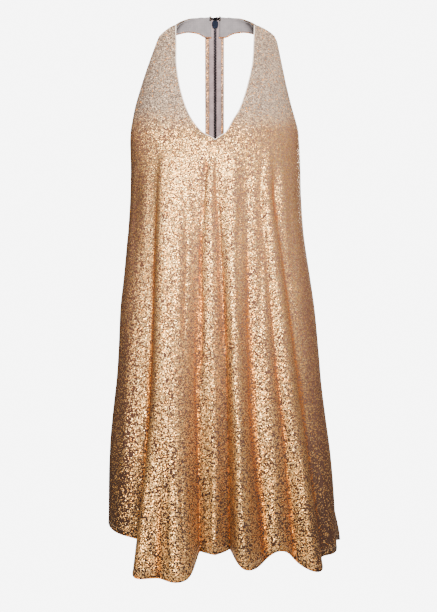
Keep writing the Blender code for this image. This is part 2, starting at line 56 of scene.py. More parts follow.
# %% [markdown]
# ## The cut
#
# A pattern cutter would draft the front by slashing a straight block from hem to bust and spreading
# it, which gives the swing. The tables below are that cut once it hangs: the outline first, then each
# fold's place and height. A cloth simulation could hang it too, but its folds would fall where they
# like, so each fold has a row of its own. But for one hem value the tables are the solids' own, so the
# cloth lies where the solids are.

# %% Sizes and the front's sections
JERSEY, FACING, TAPE = 1.5, 1.0, 1.0  # walls
SEAM_GAP, SEAM_LEAD, LAYER_GAP = 0.3, 3.0, 0.3
V_POINT, BUST, HIP, HEM = 217.0, 312.0, 600.0, 870.0
V_ROW, UNDERARM_ROW, BUST_ROW, HEM_ROW = 8, 9, 10, 19
RIDGE_FULLNESS = 4.0
CLOSED_VALLEYS, ROUNDING, HEM_ROUNDING = 38.0, 8, 14
BODY_AXIS = Vector((0, -60, 0))


def table(columns, *rows):
    """A table with named columns, each an array."""
    return dict(zip(columns.split(), np.array(rows, float).T))


FRONT_SECTIONS = table(
    "down side_left side_right side_y neck_left neck_right neck_y neck_down square",
    (26, -92, 98.5, -50, -66, 66.5, -50, 8, 1.35),
    (30, -95.5, 101.5, -52, -66.3, 66, -58, 22, 1.35),
    (36, -97.6, 104, -55, -65.3, 65.2, -66, 37, 1.35),
    (70, -108.6, 110.2, -70, -64.8, 63.1, -86, 72, 1.4),
    (112, -121.2, 117.9, -85, -59.1, 54.3, -111, 116, 1.55),
    (153, -132.4, 127.4, -93, -47, 40.8, -136, 159, 1.75),
    (173, -136.2, 133, -95, -37, 29.2, -150, 180, 1.9),
    (193, -139.5, 138, -95, -20.7, 17.9, -163, 201, 2.1),
    (213, -140.4, 139.5, -93, 0, 0, -173, V_POINT, 2.25),
    (252, -139.6, 141.4, -90, -3, -3, -185, 252, 2.4),
    (BUST, -140, 142, -89, -6, -6, -194, BUST, 2.5),
    (370, -145.5, 148, -88, -6, -6, -195, 370, 2.5),
    (431, -151, 157.5, -87, -5, -5, -195, 431, 2.45),
    (491, -157.5, 166, -86, -4, -4, -195, 491, 2.4),
    (551, -160, 171.5, -85, -3, -3, -196, 551, 2.35),
    (610, -163.5, 176.5, -84, -2, -2, -197, 610, 2.3),
    (670, -169.5, 184.5, -83, -1, -1, -199, 670, 2.3),
    (730, -174.5, 192.5, -82, 0, 0, -201, 730, 2.3),
    (790, -176.5, 197.5, -81, 0, 0, -203, 790, 2.3),
    (HEM, -177, 200.5, -80, 0, 0, -206, HEM, 2.3),
)
print("front sections:", len(FRONT_SECTIONS["down"]))

# %% The folds
FRONT_FOLDS = table(
    "x_bust x_hip x_hem out_bust out_hip out_hem hem cells",
    (-140, -163, -177, 0, 0, 0, 836, 4),
    (-129, -141, -156, -2, 1, 2, 848, 3),
    (-95, -108, -130, -4, -13, -26, 861, 4),
    (-84, -91, -114, 6, 10, 30, 911, 4),
    (-74, -80, -83, 6, 12, 17, 908, 3),
    (-62, -67, -58, 4, 11, 30, 913, 3),
    (-44, -50, -41, 0, 3, 22, 907, 4),
    (-19, -29, -28, -5, -15, -29, 871, 3),
    (-6, -2, 0, 1, -3, -4, 874, 3),
    (5, 21, 27, -5, -15, -30, 868, 4),
    (16, 28, 37, -1, 2, 18, 882, 3),
    (28, 36, 49, 3, 11, 29, 894, 4),
    (52, 58, 83, -3, -9, -16, 886, 3),
    (64, 87, 105, -1, 3, -1, 867, 3),
    (74, 102, 134, -2, -4, -15, 886, 4),  # 13 lower than on the solid, which makes the next tip round
    (85, 120, 154, 6, 9, 23, 905, 4),
    (97, 139, 178, -5, -8, -8, 886, 3),
    (119, 162, 194, 2, 2, 4, 884, 3),
    (142, 176.5, 200.5, 0, 0, 0, 870, 0),
)
CENTRE_FOLD = 8
STRIP_LEFT, STRIP_RIGHT, STRIP_FOOT, STRIP_FILLET = 17.4, 15.3, 212.0, 9.0
BACK_LEFT_FOLDS = table(
    "x_top x_hip x_hem out_top out_hip out_hem kick hem cells",
    (0, 0, 0, 0, 0, 0, 0, 874, 3),
    (STRIP_LEFT, 22, 25, 0, 1, 3, 0, 874, 4),
    (40, 50, 51, 2, 9, 24, 0, 884, 4),
    (66, 76, 84, -1, -8, -22, 0, 862, 4),
    (92, 107, 121, 2, 9, 24, 0, 880, 4),
    (113, 133, 146, -1, -5, -14, 0, 860, 3),
    (131, 154, 169, 1, 3, 5, 0, 848, 4),
    (140, 163.5, 177, 0, 0, 0, 0, 839, 0),
)
BACK_RIGHT_FOLDS = table(
    "x_top x_hip x_hem out_top out_hip out_hem kick hem cells",
    (0, 0, 0, 0, 0, 0, 0, 874, 3),
    (STRIP_RIGHT, 20, 23, 0, 1, 3, 0, 874, 4),
    (37, 44, 56, 2, 8, 21, 0, 881, 4),
    (60, 72, 93, -1, -8, -22, 0, 864, 4),
    (88, 106, 131, 2, 10, 25, 0, 884, 4),
    (112, 138, 161, -1, -6, -15, 0, 866, 3),
    (132, 166, 189, 1, 3, 4, 18, 878, 4),
    (142, 176.5, 200.5, 0, 0, 0, 0, 870, 0),
)
SPINE = table(
    "down y",
    (-30, 4.1), (34, 4.1), (60, 6.5), (120, 17), (200, 30), (252, 36), (400, 42), (600, 48), (HEM, 60),
)
BACK_TOP, TOP_EDGE_FADES, KICK_STARTS, BACK_SQUARE = 254.0, (252, 370), 783, 2.4
ZIP_END, ZIP_OPENING, SEAM_CLOSES = 420.0, 6.0, 30.0
print("folds:", [len(folds["hem"]) for folds in (FRONT_FOLDS, BACK_LEFT_FOLDS, BACK_RIGHT_FOLDS)])


# %% [markdown]
# ## Carrying a cut between its rows
#
# Cloth has no corners, so every value runs between the table's rows on a curve. A plain spline would
# be shorter to write, but it swings past its points, which shows on a dress as dents, so this curve
# never does. Folds stand out of a plain oval, and their flanks move aside, which makes ridges broad
# and valleys narrow, as heavy jersey hangs.

# %% Curves
def smooth(where, knots, values):
    """A curve through the values that never swings past them (monotone cubic)."""
    knots, values, where = (np.asarray(v, float) for v in (knots, values, where))
    step = np.diff(knots)
    slope = np.diff(values) / step
    rising = slope[:-1] * slope[1:] > 0
    inner = np.zeros(len(knots) - 2)
    inner[rising] = 2 / (1 / slope[:-1][rising] + 1 / slope[1:][rising])
    tangent = np.concatenate([slope[:1], inner, slope[-1:]])
    i = np.clip(np.searchsorted(knots, where) - 1, 0, len(step) - 1)
    t = np.clip((where - knots[i]) / step[i], 0, 1)
    rise = (values[i + 1] - values[i]) * t * t * (3 - 2 * t)
    bend = tangent[i] * (1 - t) - tangent[i + 1] * t
    return values[i] + rise + bend * step[i] * t * (1 - t)


def ease(t):
    """0 to 1, flat at both ends."""
    t = np.clip(t, 0, 1)
    return t * t * (3 - 2 * t)


def unit(vector):
    """The same direction, of length 1."""
    return vector / np.linalg.norm(vector, axis=-1, keepdims=True)


print("half way between 0 and 10, then flat at 10:", smooth([0.5, 1.5], [0, 1, 2], [0, 10, 10]))

# %% An oval for each section
def front_section(row):
    """The front's sizes at a row, or between two rows."""
    rows = np.arange(len(FRONT_SECTIONS["down"]))
    found = {name: float(smooth(row, rows, values)) for name, values in FRONT_SECTIONS.items()}
    if row >= V_ROW:
        found["neck_left"] = found["neck_right"]
    return found


def quarter(outer, inner, square, turn):
    """Points of a quarter of an oval, from the outer point at turn 0 to the inner one at a right angle."""
    hub = np.array([inner[0], outer[1], outer[2]])
    return (
        hub
        + np.outer(np.cos(turn) ** (2 / square), outer - hub)
        + np.outer(np.sin(turn) ** (2 / square), inner - hub)
    )


def outward(outer, inner, square, turn):
    """The direction, in plan, in which a fold stands out of that quarter."""
    power = 2 * (square - 1) / square
    x = np.cos(turn) ** power / (outer[0] - inner[0])
    y = np.sin(turn) ** power / (inner[1] - outer[1])
    return unit(np.stack([x, y, np.zeros_like(x)], axis=1))


def turns(x, outer_x, inner_x, square):
    """The angle at which each x lies on that quarter."""
    return np.arccos(np.clip((x - inner_x) / (outer_x - inner_x), 0, 1) ** (square / 2))


at_bust = front_section(BUST_ROW)
print("the front at the bust, mm right and forward:", at_bust["side_right"], -at_bust["neck_y"])

# %% Folds along an oval
def spread(values, cells, finer):
    """Values given at the folds, carried smoothly to every column between them."""
    at = np.concatenate([[0], np.cumsum(cells[:-1])])
    return smooth(np.arange(at[-1] * finer + 1) / finer, at, values)


def at_level(folds, kind, down):
    """A fold column, such as x or out, at a level between bust and hem."""
    top = "top" if kind + "_top" in folds else "bust"
    levels = np.array([folds[f"{kind}_{level}"] for level in (top, "hip", "hem")])
    return np.array([float(smooth(down, (BUST, HIP, HEM), column)) for column in levels.T])


def evened(line):
    """Each inner value of a line, drawn half way to the mean of its neighbours."""
    return (line[:-2] + 2 * line[1:-1] + line[2:]) / 4


def along_line(line):
    """How far along a line each of its points lies."""
    return np.concatenate([[0], np.cumsum(np.linalg.norm(np.diff(line, axis=0), axis=1))])


def point_at(place, along, line):
    """The point, or points, at a distance along a line."""
    return np.stack([np.interp(place, along, line[:, k]) for k in range(3)], axis=-1)


def full_ridges(points, out, away):
    """Moves a fold's flanks apart along the cloth, so that ridges are broad and valleys narrow or closed."""
    along = along_line(points)
    slope = np.gradient(out, along)
    slope[0] = slope[-1] = 0
    shift = -RIDGE_FULLNESS * slope / np.sqrt(1 + slope**2)
    moved = points + np.gradient(points, along, axis=0) * shift[:, None] + away * out[:, None]
    way = np.sign(points[-1, 0] - points[0, 0])
    ordered = way * np.maximum.accumulate(way * moved[:, 0])
    centre = np.abs(points[:, 0]) < CLOSED_VALLEYS
    moved[centre, 0] = ordered[centre]
    for _ in range(ROUNDING):
        moved[1:-1] = evened(moved)
    return moved


def hang(down, hem):
    """How far below the nape a point hangs, once each fold reaches its own hem, in round tips."""
    hem = np.array(hem, float)
    for _ in range(HEM_ROUNDING):
        hem[1:-1] = evened(hem)
    return down + (hem - HEM) * (np.clip(down - BUST, 0, None) / (HEM - BUST)) ** 2


print("hem of the centre fold, mm down:", FRONT_FOLDS["hem"][CENTRE_FOLD])

# %% Rows of the front
def front_row(row, side, finer):
    """One row of the front's left (-1) or right (1) half, from its outer edge to neck or centre."""
    now = front_section(row)
    bust = {name: values[BUST_ROW] for name, values in FRONT_SECTIONS.items()}
    half = "left" if side < 0 else "right"
    some = slice(0, CENTRE_FOLD + 1) if side < 0 else slice(CENTRE_FOLD, None)
    folds = {name: values[some] for name, values in FRONT_FOLDS.items()}
    cells = folds["cells"]
    outer = np.array([now[f"side_{half}"], now["side_y"], -now["down"]])
    inner = np.array([now[f"neck_{half}"], now["neck_y"], -now["neck_down"]])
    if row >= UNDERARM_ROW:
        outer[1] -= SEAM_GAP / 2
    down = max(now["down"], BUST)
    x = at_level(folds, "x", down)
    edge, middle = outer[0], inner[0]
    if now["down"] < BUST:
        edge, middle = bust[f"side_{half}"], bust[f"neck_{half}"]
    x[0], x[-1] = (edge, middle) if side < 0 else (middle, edge)
    turn = turns(x, edge, middle, now["square"])
    out = at_level(folds, "out", down) * ease((now["down"] - V_POINT) / (BUST - V_POINT))
    hem = folds["hem"]
    if side > 0:
        turn, out, hem = turn[::-1], out[::-1], hem[::-1]
        cells = np.append(cells[:-1][::-1], 0)
    turn = np.clip(spread(turn, cells, finer), 0, math.pi / 2)
    points = quarter(outer, inner, now["square"], turn)
    if now["down"] > V_POINT:
        points = full_ridges(points, spread(out, cells, finer), outward(outer, inner, now["square"], turn))
    if now["down"] > BUST:
        points[:, 2] = -hang(now["down"], spread(hem, cells, finer))
    return points


print("the front's bust row spans, mm:", np.round(front_row(BUST_ROW, -1, 1)[[0, -1], 0], 1))

# %% Rows of the backs
def zip_edge(down):
    """Distance of the cloth's edge from centre back: beside the teeth, then closing to the seam."""
    return ZIP_OPENING + (SEAM_GAP / 2 - ZIP_OPENING) * ease((down - ZIP_END) / SEAM_CLOSES)


def back_row(row, side, finer):
    """One row of a back piece below its top edge, from centre back to the side seam."""
    now = front_section(row)
    folds, strip = (BACK_LEFT_FOLDS, STRIP_LEFT) if side < 0 else (BACK_RIGHT_FOLDS, STRIP_RIGHT)
    nominal = now["down"]
    edge = abs(now["side_left" if side < 0 else "side_right"])
    x = at_level(folds, "x", max(nominal, BUST))
    if nominal < BUST:
        x[1:-1] += (edge - x[-1]) * x[1:-1] / x[-1]
    x[0], x[1], x[-1] = 0, max(x[1], strip), edge
    out = at_level(folds, "out", max(nominal, BUST)) * ease((nominal - STRIP_FOOT) / (BUST - STRIP_FOOT))
    out += folds["kick"] * ease((nominal - KICK_STARTS) / (HEM - KICK_STARTS))
    cells = np.append(folds["cells"][:-1][::-1], 0)
    turn = np.clip(spread(turns(x, edge, 0, BACK_SQUARE)[::-1], cells, finer)[::-1], 0, math.pi / 2)
    hem, out = (spread(values[::-1], cells, finer)[::-1] for values in (folds["hem"], out))
    across = edge * np.cos(turn) ** (2 / BACK_SQUARE)
    down = hang(nominal, hem)
    top = BACK_TOP - (BACK_TOP - STRIP_FOOT) * np.exp(-np.clip(across - strip, 0, None) / STRIP_FILLET)
    first, last = TOP_EDGE_FADES
    down += (top - nominal) * (1 - ease((nominal - first) / (last - first)))
    side_y = now["side_y"] + SEAM_GAP / 2
    plan = quarter(np.array([edge, 0.0, 0.0]), np.array([0.0, 1.0, 0.0]), BACK_SQUARE, turn)
    away = outward(np.array([edge, side_y, 0]), np.array([0, SPINE["y"][-1], 0]), BACK_SQUARE, turn)
    y = side_y + (smooth(down, SPINE["down"], SPINE["y"]) - side_y) * plan[:, 1]
    points = full_ridges(np.stack([across, y, -down], axis=1), out, away)
    points[:, 0] *= side
    edge = zip_edge(-points[:, 2])
    x = np.abs(points[:, 0])
    near = x < strip
    points[near, 0] = side * (edge[near] + x[near] * (strip - edge[near]) / strip)
    return points


print("the left back's bust row spans, mm:", np.round(back_row(BUST_ROW, -1, 1)[[0, -1], 0], 1))

# %% The neckband and the shoulder seam
BAND_FOOT, BAND_SQUARE, BAND_CELLS, BAND_CELLS_ACROSS = 19.0, 2.4, 12, 5
BAND_UPPER = table("share down", (0, -15.7), (0.3, -15), (0.6, -13), (0.88, -4.6), (1, 8))
BAND_LOWER = table(
    "share down", (0.2, BAND_FOOT), (0.26, 15), (0.36, 11.8), (0.5, 10.5), (0.7, 14.7), (0.9, 23), (1, 26)
)
FACING_EDGE = 6.8


def band_edges(side, end, finer):
    """The neckband's lower and upper edge, each a line of points from the shoulder seam to the zip."""
    half = "left" if side < 0 else "right"
    start = front_section(0)
    for name, edge in (("side", BAND_LOWER), ("neck", BAND_UPPER)):
        reach = abs(start[f"{name}_{half}"])
        last = turns(np.array([end]), reach, 0, BAND_SQUARE)[0]
        turn = np.linspace(0, last, BAND_CELLS * finer + 1)
        x = reach * np.cos(turn) ** (2 / BAND_SQUARE)
        y = start[f"{name}_y"] + (SPINE["y"][0] - start[f"{name}_y"]) * np.sin(turn) ** (2 / BAND_SQUARE)
        yield np.stack([side * x, y, -smooth(x / reach, edge["share"], edge["down"])], axis=1)


def over_shoulder(side, seam):
    """The direction in which the cloth runs over the shoulder seam, at each point of the seam."""
    before = front_row(0.5, side, 1)
    lower, upper = band_edges(side, ZIP_OPENING, 1)
    outer, inner = unit(lower[1] - before[0]), unit(upper[1] - before[-1])
    share = np.linalg.norm(seam - seam[0], axis=1) / np.linalg.norm(seam[-1] - seam[0])
    return unit(outer + (inner - outer) * share[:, None])


print("the neckband is, mm deep at the shoulder:", BAND_LOWER["down"][-1] - BAND_UPPER["down"][-1])

# %% Grids of the front and the band
def rows_from(start, change):
    """Rows down to the hem, closer together above the row where that changes."""
    return np.concatenate([np.arange(start, change, 1 / 8), np.arange(change, HEM_ROW + 0.01, 1 / 6)])


def front_grid(side, finer=3):
    """Half of the front, row by row from the shoulder seam to the hem."""
    rows = rows_from(0.5, UNDERARM_ROW)
    grid = [front_row(row, side, finer) for row in np.concatenate([[0], rows])]
    run = over_shoulder(side, grid[0])
    return np.array([grid[0] - run * SEAM_GAP / 2, grid[0] - run * SEAM_LEAD] + grid[1:])


def band_grid(side, end=ZIP_OPENING, finer=3):
    """Half of the neckband's outer face, from the shoulder seam to the zip."""
    turn = np.linspace(0, math.pi / 2, BAND_CELLS_ACROSS * finer + 1)
    square = front_section(0)["square"]
    grid = [quarter(lower, upper, square, turn) for lower, upper in zip(*band_edges(side, end, finer))]
    run = over_shoulder(side, grid[0])
    return np.array([grid[0] + run * SEAM_GAP / 2, grid[0] + run * SEAM_LEAD] + grid[finer:])


print("rows of the front:", len(front_grid(-1, 1)))

# %% Grids of the backs
def strip_grid(side, finer=3, rows=48):
    """The back's strip, from the neckband down to where the back widens."""
    columns = back_row(UNDERARM_ROW, side, finer)[: 3 * finer + 1]
    grid = []
    for down in np.linspace(BAND_FOOT + SEAM_GAP, STRIP_FOOT, rows, endpoint=False):
        points = columns.copy()
        points[:, 1] = smooth(down, SPINE["down"], SPINE["y"])
        points[:, 2] = -down
        grid.append(points)
    return np.array(grid)


def back_grid(side, finer=3):
    """A back piece: its strip above, open beside it, and the body below. Empty places hold no number."""
    body = np.array([back_row(row, side, finer) for row in rows_from(UNDERARM_ROW, BUST_ROW)])
    strip = strip_grid(side, finer)
    above = np.full((len(strip),) + body.shape[1:], np.nan)
    above[:, : strip.shape[1]] = strip
    return np.concatenate([above, body])


FRONTS = {name: front_grid(side) for side, name in HALVES}
BACKS = {name: back_grid(side) for side, name in HALVES}
for name in FRONTS:
    print(name, "grids of front and back:", FRONTS[name].shape[:2], BACKS[name].shape[:2])


# %% [markdown]
# ## Looks
#
# The jersey is a mauve-brown knit. A thin gold foil is glued on in small dots and cracks into flakes
# as the knit stretches, so it glitters: each flake lies at its own angle. Between the flakes the dull
# knit shows. A picture of foil could be laid on the cloth, but it would stretch over the folds. These
# patterns are worked out in space instead, from sizes in metres. The waves that draw knit and weave
# come out about six times as wide as the size they are given, so both are far coarser than real cloth.

# %% Node helpers
def linear(code, alpha=1):
    """An sRGB hex colour as linear red, green and blue."""
    parts = [int(code[k : k + 2], 16) / 255 for k in (1, 3, 5)]
    return (*[c / 12.92 if c <= 0.04045 else ((c + 0.055) / 1.055) ** 2.4 for c in parts], alpha)


PLUS, MINUS, TIMES = ({"operation": name} for name in ("ADD", "SUBTRACT", "MULTIPLY"))
EASED, BLEND = {"interpolation_type": "SMOOTHSTEP"}, {"data_type": "RGBA", "output": 2}


class Look:
    """A material, with one way to add any node to it and one to reach its shader."""

    def __init__(self, name, **sockets):
        self.material = bpy.data.materials.new(name)
        self.material.use_nodes = True
        self.tree = self.material.node_tree
        self.shader = self.tree.nodes["Principled BSDF"]
        for socket, value in sockets.items():
            self.shader.inputs[socket.replace("_", " ")].default_value = value

    def add(self, kind, inputs=(), output=0, **settings):
        """Adds a node. inputs are numbers, colours or other nodes' outputs, in order or by socket."""
        node = self.tree.nodes.new("ShaderNode" + kind)
        for name, value in settings.items():
            setattr(node, name, value)
        for socket, value in inputs.items() if isinstance(inputs, dict) else enumerate(inputs):
            if isinstance(value, bpy.types.NodeSocket):
                self.tree.links.new(value, node.inputs[socket])
            else:
                node.inputs[socket].default_value = value
        return node.outputs[output]

    def to(self, socket, value):
        """Links a node's output to a socket of the shader."""
        self.tree.links.new(value, self.shader.inputs[socket])


print("straw gold, linear:", [round(part, 3) for part in linear("#f1af5f")[:3]])

# %% Foil flakes
FLAKE = 0.0014  # the real crackle is about half as wide, finer than the picture can show
KNIT = 0.0012  # one column of real knit loops, which is drawn coarser than this: see wave_scale


def wave_scale(size):
    """A wave texture's scale. Its bands come out 2 pi times as wide as the size: 7.5 mm for the knit."""
    return 1 / size / 20


def flakes(add, place):
    """Cells of a few sizes with bent edges: each one's three random numbers, and how far its crack is."""
    wander = add("TexNoise", {"Vector": place, "Scale": 0.6 / FLAKE, "Detail": 2.0}, "Color")
    wander = add("VectorMath", (wander, (0.5, 0.5, 0.5)), **MINUS)
    wander = add("VectorMath", {0: wander, "Scale": 0.9 * FLAKE}, operation="SCALE")
    cells = {"Vector": add("VectorMath", (place, wander), **PLUS), "Scale": 1 / FLAKE, "Randomness": 1.0}
    return add("TexVoronoi", cells, "Color"), add("TexVoronoi", cells, "Distance", feature="DISTANCE_TO_EDGE")


def glitter(add, place, tone, kept):
    """Each flake lies at its own angle, which is the glitter, over the knit's columns and the foil's rims."""
    tilt = add("VectorMath", (tone, (0.5, 0.5, 0.5)), **MINUS)
    tilt = add("VectorMath", {0: tilt, "Scale": 0.8}, operation="SCALE")
    tilt = add("VectorMath", (add("NewGeometry", (), "Normal"), tilt), **PLUS)
    tilt = add("VectorMath", (tilt,), operation="NORMALIZE")
    columns = add("TexWave", {"Vector": place, "Scale": wave_scale(KNIT), "Distortion": 0.6}, "Fac")
    grain = add("Bump", {"Height": columns, "Distance": 0.00006, "Strength": 1.0, "Normal": tilt})
    return add("Bump", {"Height": kept, "Distance": 0.00006, "Strength": 1.0, "Normal": grain})


print("flakes in a square centimetre:", round((0.01 / FLAKE) ** 2))

# %% Where light and shade are painted on the foil
# Painted light on the foil: a pale reflection on the yoke, shade that deepens towards the hem, and shade at
# the sides
YOKE_REFLECTION_FADES, HEM_SHADE = (-0.215, -0.15), (-0.88, -0.3)
SIDES_SHADE, SIDES_CENTRE = (0.092, 0.122), 0.0105


def painted_light_masks(add, place, yoke_reflection):
    """Masks of painted light: a pale reflection on the yoke, shade that deepens towards the hem, and shade at
    the sides.
    """
    across, _, level = add("SeparateXYZ", (place,)).node.outputs
    drift = add("TexNoise", {"Vector": place, "Scale": 22.0, "Detail": 3.0})
    height = add("Math", (add("Math", (drift, 0.5), **MINUS), 0.06), **TIMES)
    height = add("Math", (level, height), **PLUS)
    yoke = add("MapRange", (height, *YOKE_REFLECTION_FADES, 0.0, yoke_reflection), **EASED)
    deep = add("MapRange", (height, *HEM_SHADE, 1.0, 0.0), **EASED)

    # Painted shade at the sides, where they turn from the light, starting a little further out towards the
    # hem
    side_shade = add("Math", (add("Math", (across, SIDES_CENTRE), **MINUS),), operation="ABSOLUTE")
    side_shade = add("Math", (side_shade, add("Math", (level, 0.05), **TIMES)), **PLUS)
    return yoke, deep, add("MapRange", (side_shade, *SIDES_SHADE, 0.0, 0.3), **EASED)


print("the reflection painted on the yoke fades between, m below the nape:", YOKE_REFLECTION_FADES)

# %% Foil jersey
def foil_jersey(name, yoke_reflection):
    """Foil-printed jersey. yoke_reflection, 0 to 1, is how strongly a pale reflection is painted over the
    chest.
    """
    look = Look(name, Specular_IOR_Level=0.12, Sheen_Weight=0.04, Sheen_Tint=linear("#e0a070"))
    add = look.add
    place = add("TexCoord", output="Object")
    tone, crack = flakes(add, place)
    loose, shade, amber = add("SeparateXYZ", (tone,)).node.outputs
    # The three masks paint light: the yoke's pale reflection, the hem's shade and the sides' shade
    yoke, deep, side_shade = painted_light_masks(add, place, yoke_reflection)

    # Folds: 0 deep in a valley, 1 on a ridge. The foil looks amber where light meets it twice, in valleys
    fold = add("Attribute", (), "Fac", attribute_name="fold")
    valley = add("MapRange", (fold, 0.12, 0.46, 0.9, 0.0), **EASED)

    # Where flakes are gone the knit shows, as it does in the cracks between them
    stretched = add("Mapping", {"Vector": place, "Scale": (1, 1, 0.25)})
    patch = add("TexNoise", {"Vector": stretched, "Scale": 55.0, "Detail": 3.0})
    gone = add("MapRange", (patch, 0.3, 0.7, 0.32, 0.44), **EASED)
    # More knit shows towards the hem and at the sides: painted shade
    gone = add("Math", (gone, add("Math", (deep, 0.16), **TIMES)), **PLUS)
    gone = add("Math", (gone, side_shade), **PLUS)
    kept = add("MapRange", (add("Math", (loose, gone), **MINUS), 0.0, 0.06, 0.0, 1.0), **EASED)
    kept = add("Math", (kept, add("MapRange", (crack, 0.03, 0.11, 0.0, 1.0), **EASED)), **TIMES)

    # Gold from straw to cream, then amber low down as painted shade, amber in valleys as a painted
    # interreflection, grey-beige on the yoke as a painted pale reflection, and orange specks
    share = add("MapRange", (shade, 0.2, 0.8, 0.0, 1.0), **EASED)
    foil = add("Mix", {0: share, 6: linear("#f1af5f"), 7: linear("#feda99")}, **BLEND)
    low = add("Math", (deep, 0.55), **TIMES)
    pale = add("Math", (yoke, 0.9), **TIMES)
    speck = add("MapRange", (amber, 0.88, 0.94, 0.0, 1.0), **EASED)
    for share, colour in ((low, "#d99f5c"), (valley, "#e08420"), (pale, "#9a8b7d"), (speck, "#e9973c")):
        foil = add("Mix", {0: share, 6: foil, 7: linear(colour)}, **BLEND)
    # The knit darkens towards the hem as painted shade, and turns grey-brown on the yoke as a painted
    # reflection
    knit = add("Mix", {0: deep, 6: linear("#5a3d31"), 7: linear("#26160f")}, **BLEND)
    knit = add("Mix", {0: pale, 6: knit, 7: linear("#574a42")}, **BLEND)
    look.to("Base Color", add("Mix", {0: kept, 6: knit, 7: foil}, **BLEND))

    # Foil is metal and smooth, knit is matte; on the yoke the foil is made less metallic, together with its
    # painted pale reflection
    metal = add("MapRange", (yoke, 0.0, 1.0, 0.93, 0.3), **EASED)
    look.to("Metallic", add("Math", (kept, metal), **TIMES))
    look.to("Roughness", add("MapRange", (kept, 0.0, 1.0, 0.7, 0.4), **EASED))
    look.to("Normal", glitter(add, place, tone, kept))
    return look.material


# The first and third carry a pale reflection painted on the yoke; all three carry painted shade at the hem
# and sides
FOIL = foil_jersey("foil-printed jersey, pale reflection painted on the yoke", 1.0)
FOIL_BACK = foil_jersey("foil-printed jersey, no reflection painted on the yoke", 0.0)
FOIL_TURNED = foil_jersey("foil-printed jersey, turned in", 0.8)
print("nodes in the jersey:", len(FOIL.node_tree.nodes))

# %% Plain cloths
def wrong_side():
    """The jersey's inside: a plain matte knit, paler than its face, with the foil's glue showing through."""
    look = Look("jersey wrong side, plain knit", Roughness=0.85, Specular_IOR_Level=0.25, Sheen_Weight=0.2)
    add = look.add
    place = add("TexCoord", output="Object")
    ribs = add("TexWave", {"Vector": place, "Scale": wave_scale(KNIT), "Distortion": 0.8}, "Fac")
    dots = add("TexVoronoi", {"Vector": place, "Scale": 0.7 / FLAKE}, "Distance")
    dots = add("MapRange", (dots, 0.1, 0.5, 0.0, 1.0), **EASED)
    look.to("Base Color", add("Mix", {0: dots, 6: linear("#a98a74"), 7: linear("#b9a295")}, **BLEND))
    look.to("Normal", add("Bump", {"Height": ribs, "Distance": 0.00015, "Strength": 1.0}))
    return look.material


def woven(name, dark, light, thread, sheen=0.15):
    """A plain weave: warp and weft pass over each other, so it is matte. thread is a real thread's width."""
    look = Look(name, Roughness=0.78, Specular_IOR_Level=0.3, Sheen_Weight=sheen)
    add = look.add
    place = add("TexCoord", output="Object")
    warp = add("TexWave", {"Vector": place, "Scale": wave_scale(thread)}, "Fac", bands_direction="X")
    weft = add("TexWave", {"Vector": place, "Scale": wave_scale(thread)}, "Fac", bands_direction="Z")
    weave = add("Math", (warp, weft), **TIMES)
    mottle = add("TexNoise", {"Vector": place, "Scale": 90.0, "Detail": 4.0})
    mottle = add("MapRange", (mottle, 0.3, 0.7, 0.0, 0.65), **EASED)
    tone = add("Math", (add("Math", (weave, 0.35), **TIMES), mottle), **PLUS)
    look.to("Base Color", add("Mix", {0: tone, 6: linear(dark), 7: linear(light)}, **BLEND))
    look.to("Normal", add("Bump", {"Height": weave, "Distance": 0.00012, "Strength": 1.0}))
    return look.material


PLAIN = wrong_side()
GREY = woven("facing, plain weave", "#5c585c", "#6b666a", 0.0006)
BINDING = woven("edge binding, bias-cut satin", "#b9aba3", "#d8cdc6", 0.0005, 0.3)
MAUVE = woven("zip tape, woven polyester", "#66575b", "#7f7074", 0.0007)
print("cloths:", ", ".join(look.name for look in (PLAIN, GREY, BINDING, MAUVE)))

# %% Metal and thread
def plated(name, colour, rubbed, rough):
    """Plated zinc or brass: a smooth dark coat with faint polishing marks and rubbed spots."""
    look = Look(name, Metallic=0.97)
    add = look.add
    place = add("TexCoord", output="Object")
    drawn = add("Mapping", {"Vector": place, "Scale": (1, 1, 12)})
    marks = add("TexNoise", {"Vector": drawn, "Scale": 900.0, "Detail": 3.0})
    rub = add("TexNoise", {"Vector": place, "Scale": 260.0, "Detail": 2.0})
    rub = add("MapRange", (rub, 0.45, 0.8, 0.0, 1.0), **EASED)
    look.to("Base Color", add("Mix", {0: rub, 6: linear(colour), 7: linear(rubbed)}, **BLEND))
    look.to("Roughness", add("MapRange", (marks, 0.3, 0.7, rough - 0.08, rough + 0.1), **EASED))
    look.to("Normal", add("Bump", {"Height": marks, "Distance": 0.00001, "Strength": 1.0}))
    return look.material


def thread_look(name, dark, light):
    """Spun polyester sewing thread: two plies twisted, with a soft shine. The twist is drawn coarse."""
    look = Look(name, Roughness=0.55, Sheen_Weight=0.3)
    add = look.add
    twist = {"Vector": add("TexCoord", output="Object"), "Scale": 90.0, "Distortion": 1.0}
    twist = add("TexWave", twist, "Fac")
    look.to("Base Color", add("Mix", {0: twist, 6: linear(dark), 7: linear(light)}, **BLEND))
    return look.material


DARK = plated("zip metal, dark nickel plate", "#08080b", "#111015", 0.42)
NAVY = plated("slider metal, blue-black plate", "#05070f", "#0c101c", 0.5)
THREAD = thread_look("sewing thread, bronze spun polyester", "#9a7550", "#b9966c")
print("looks:", len(bpy.data.materials))
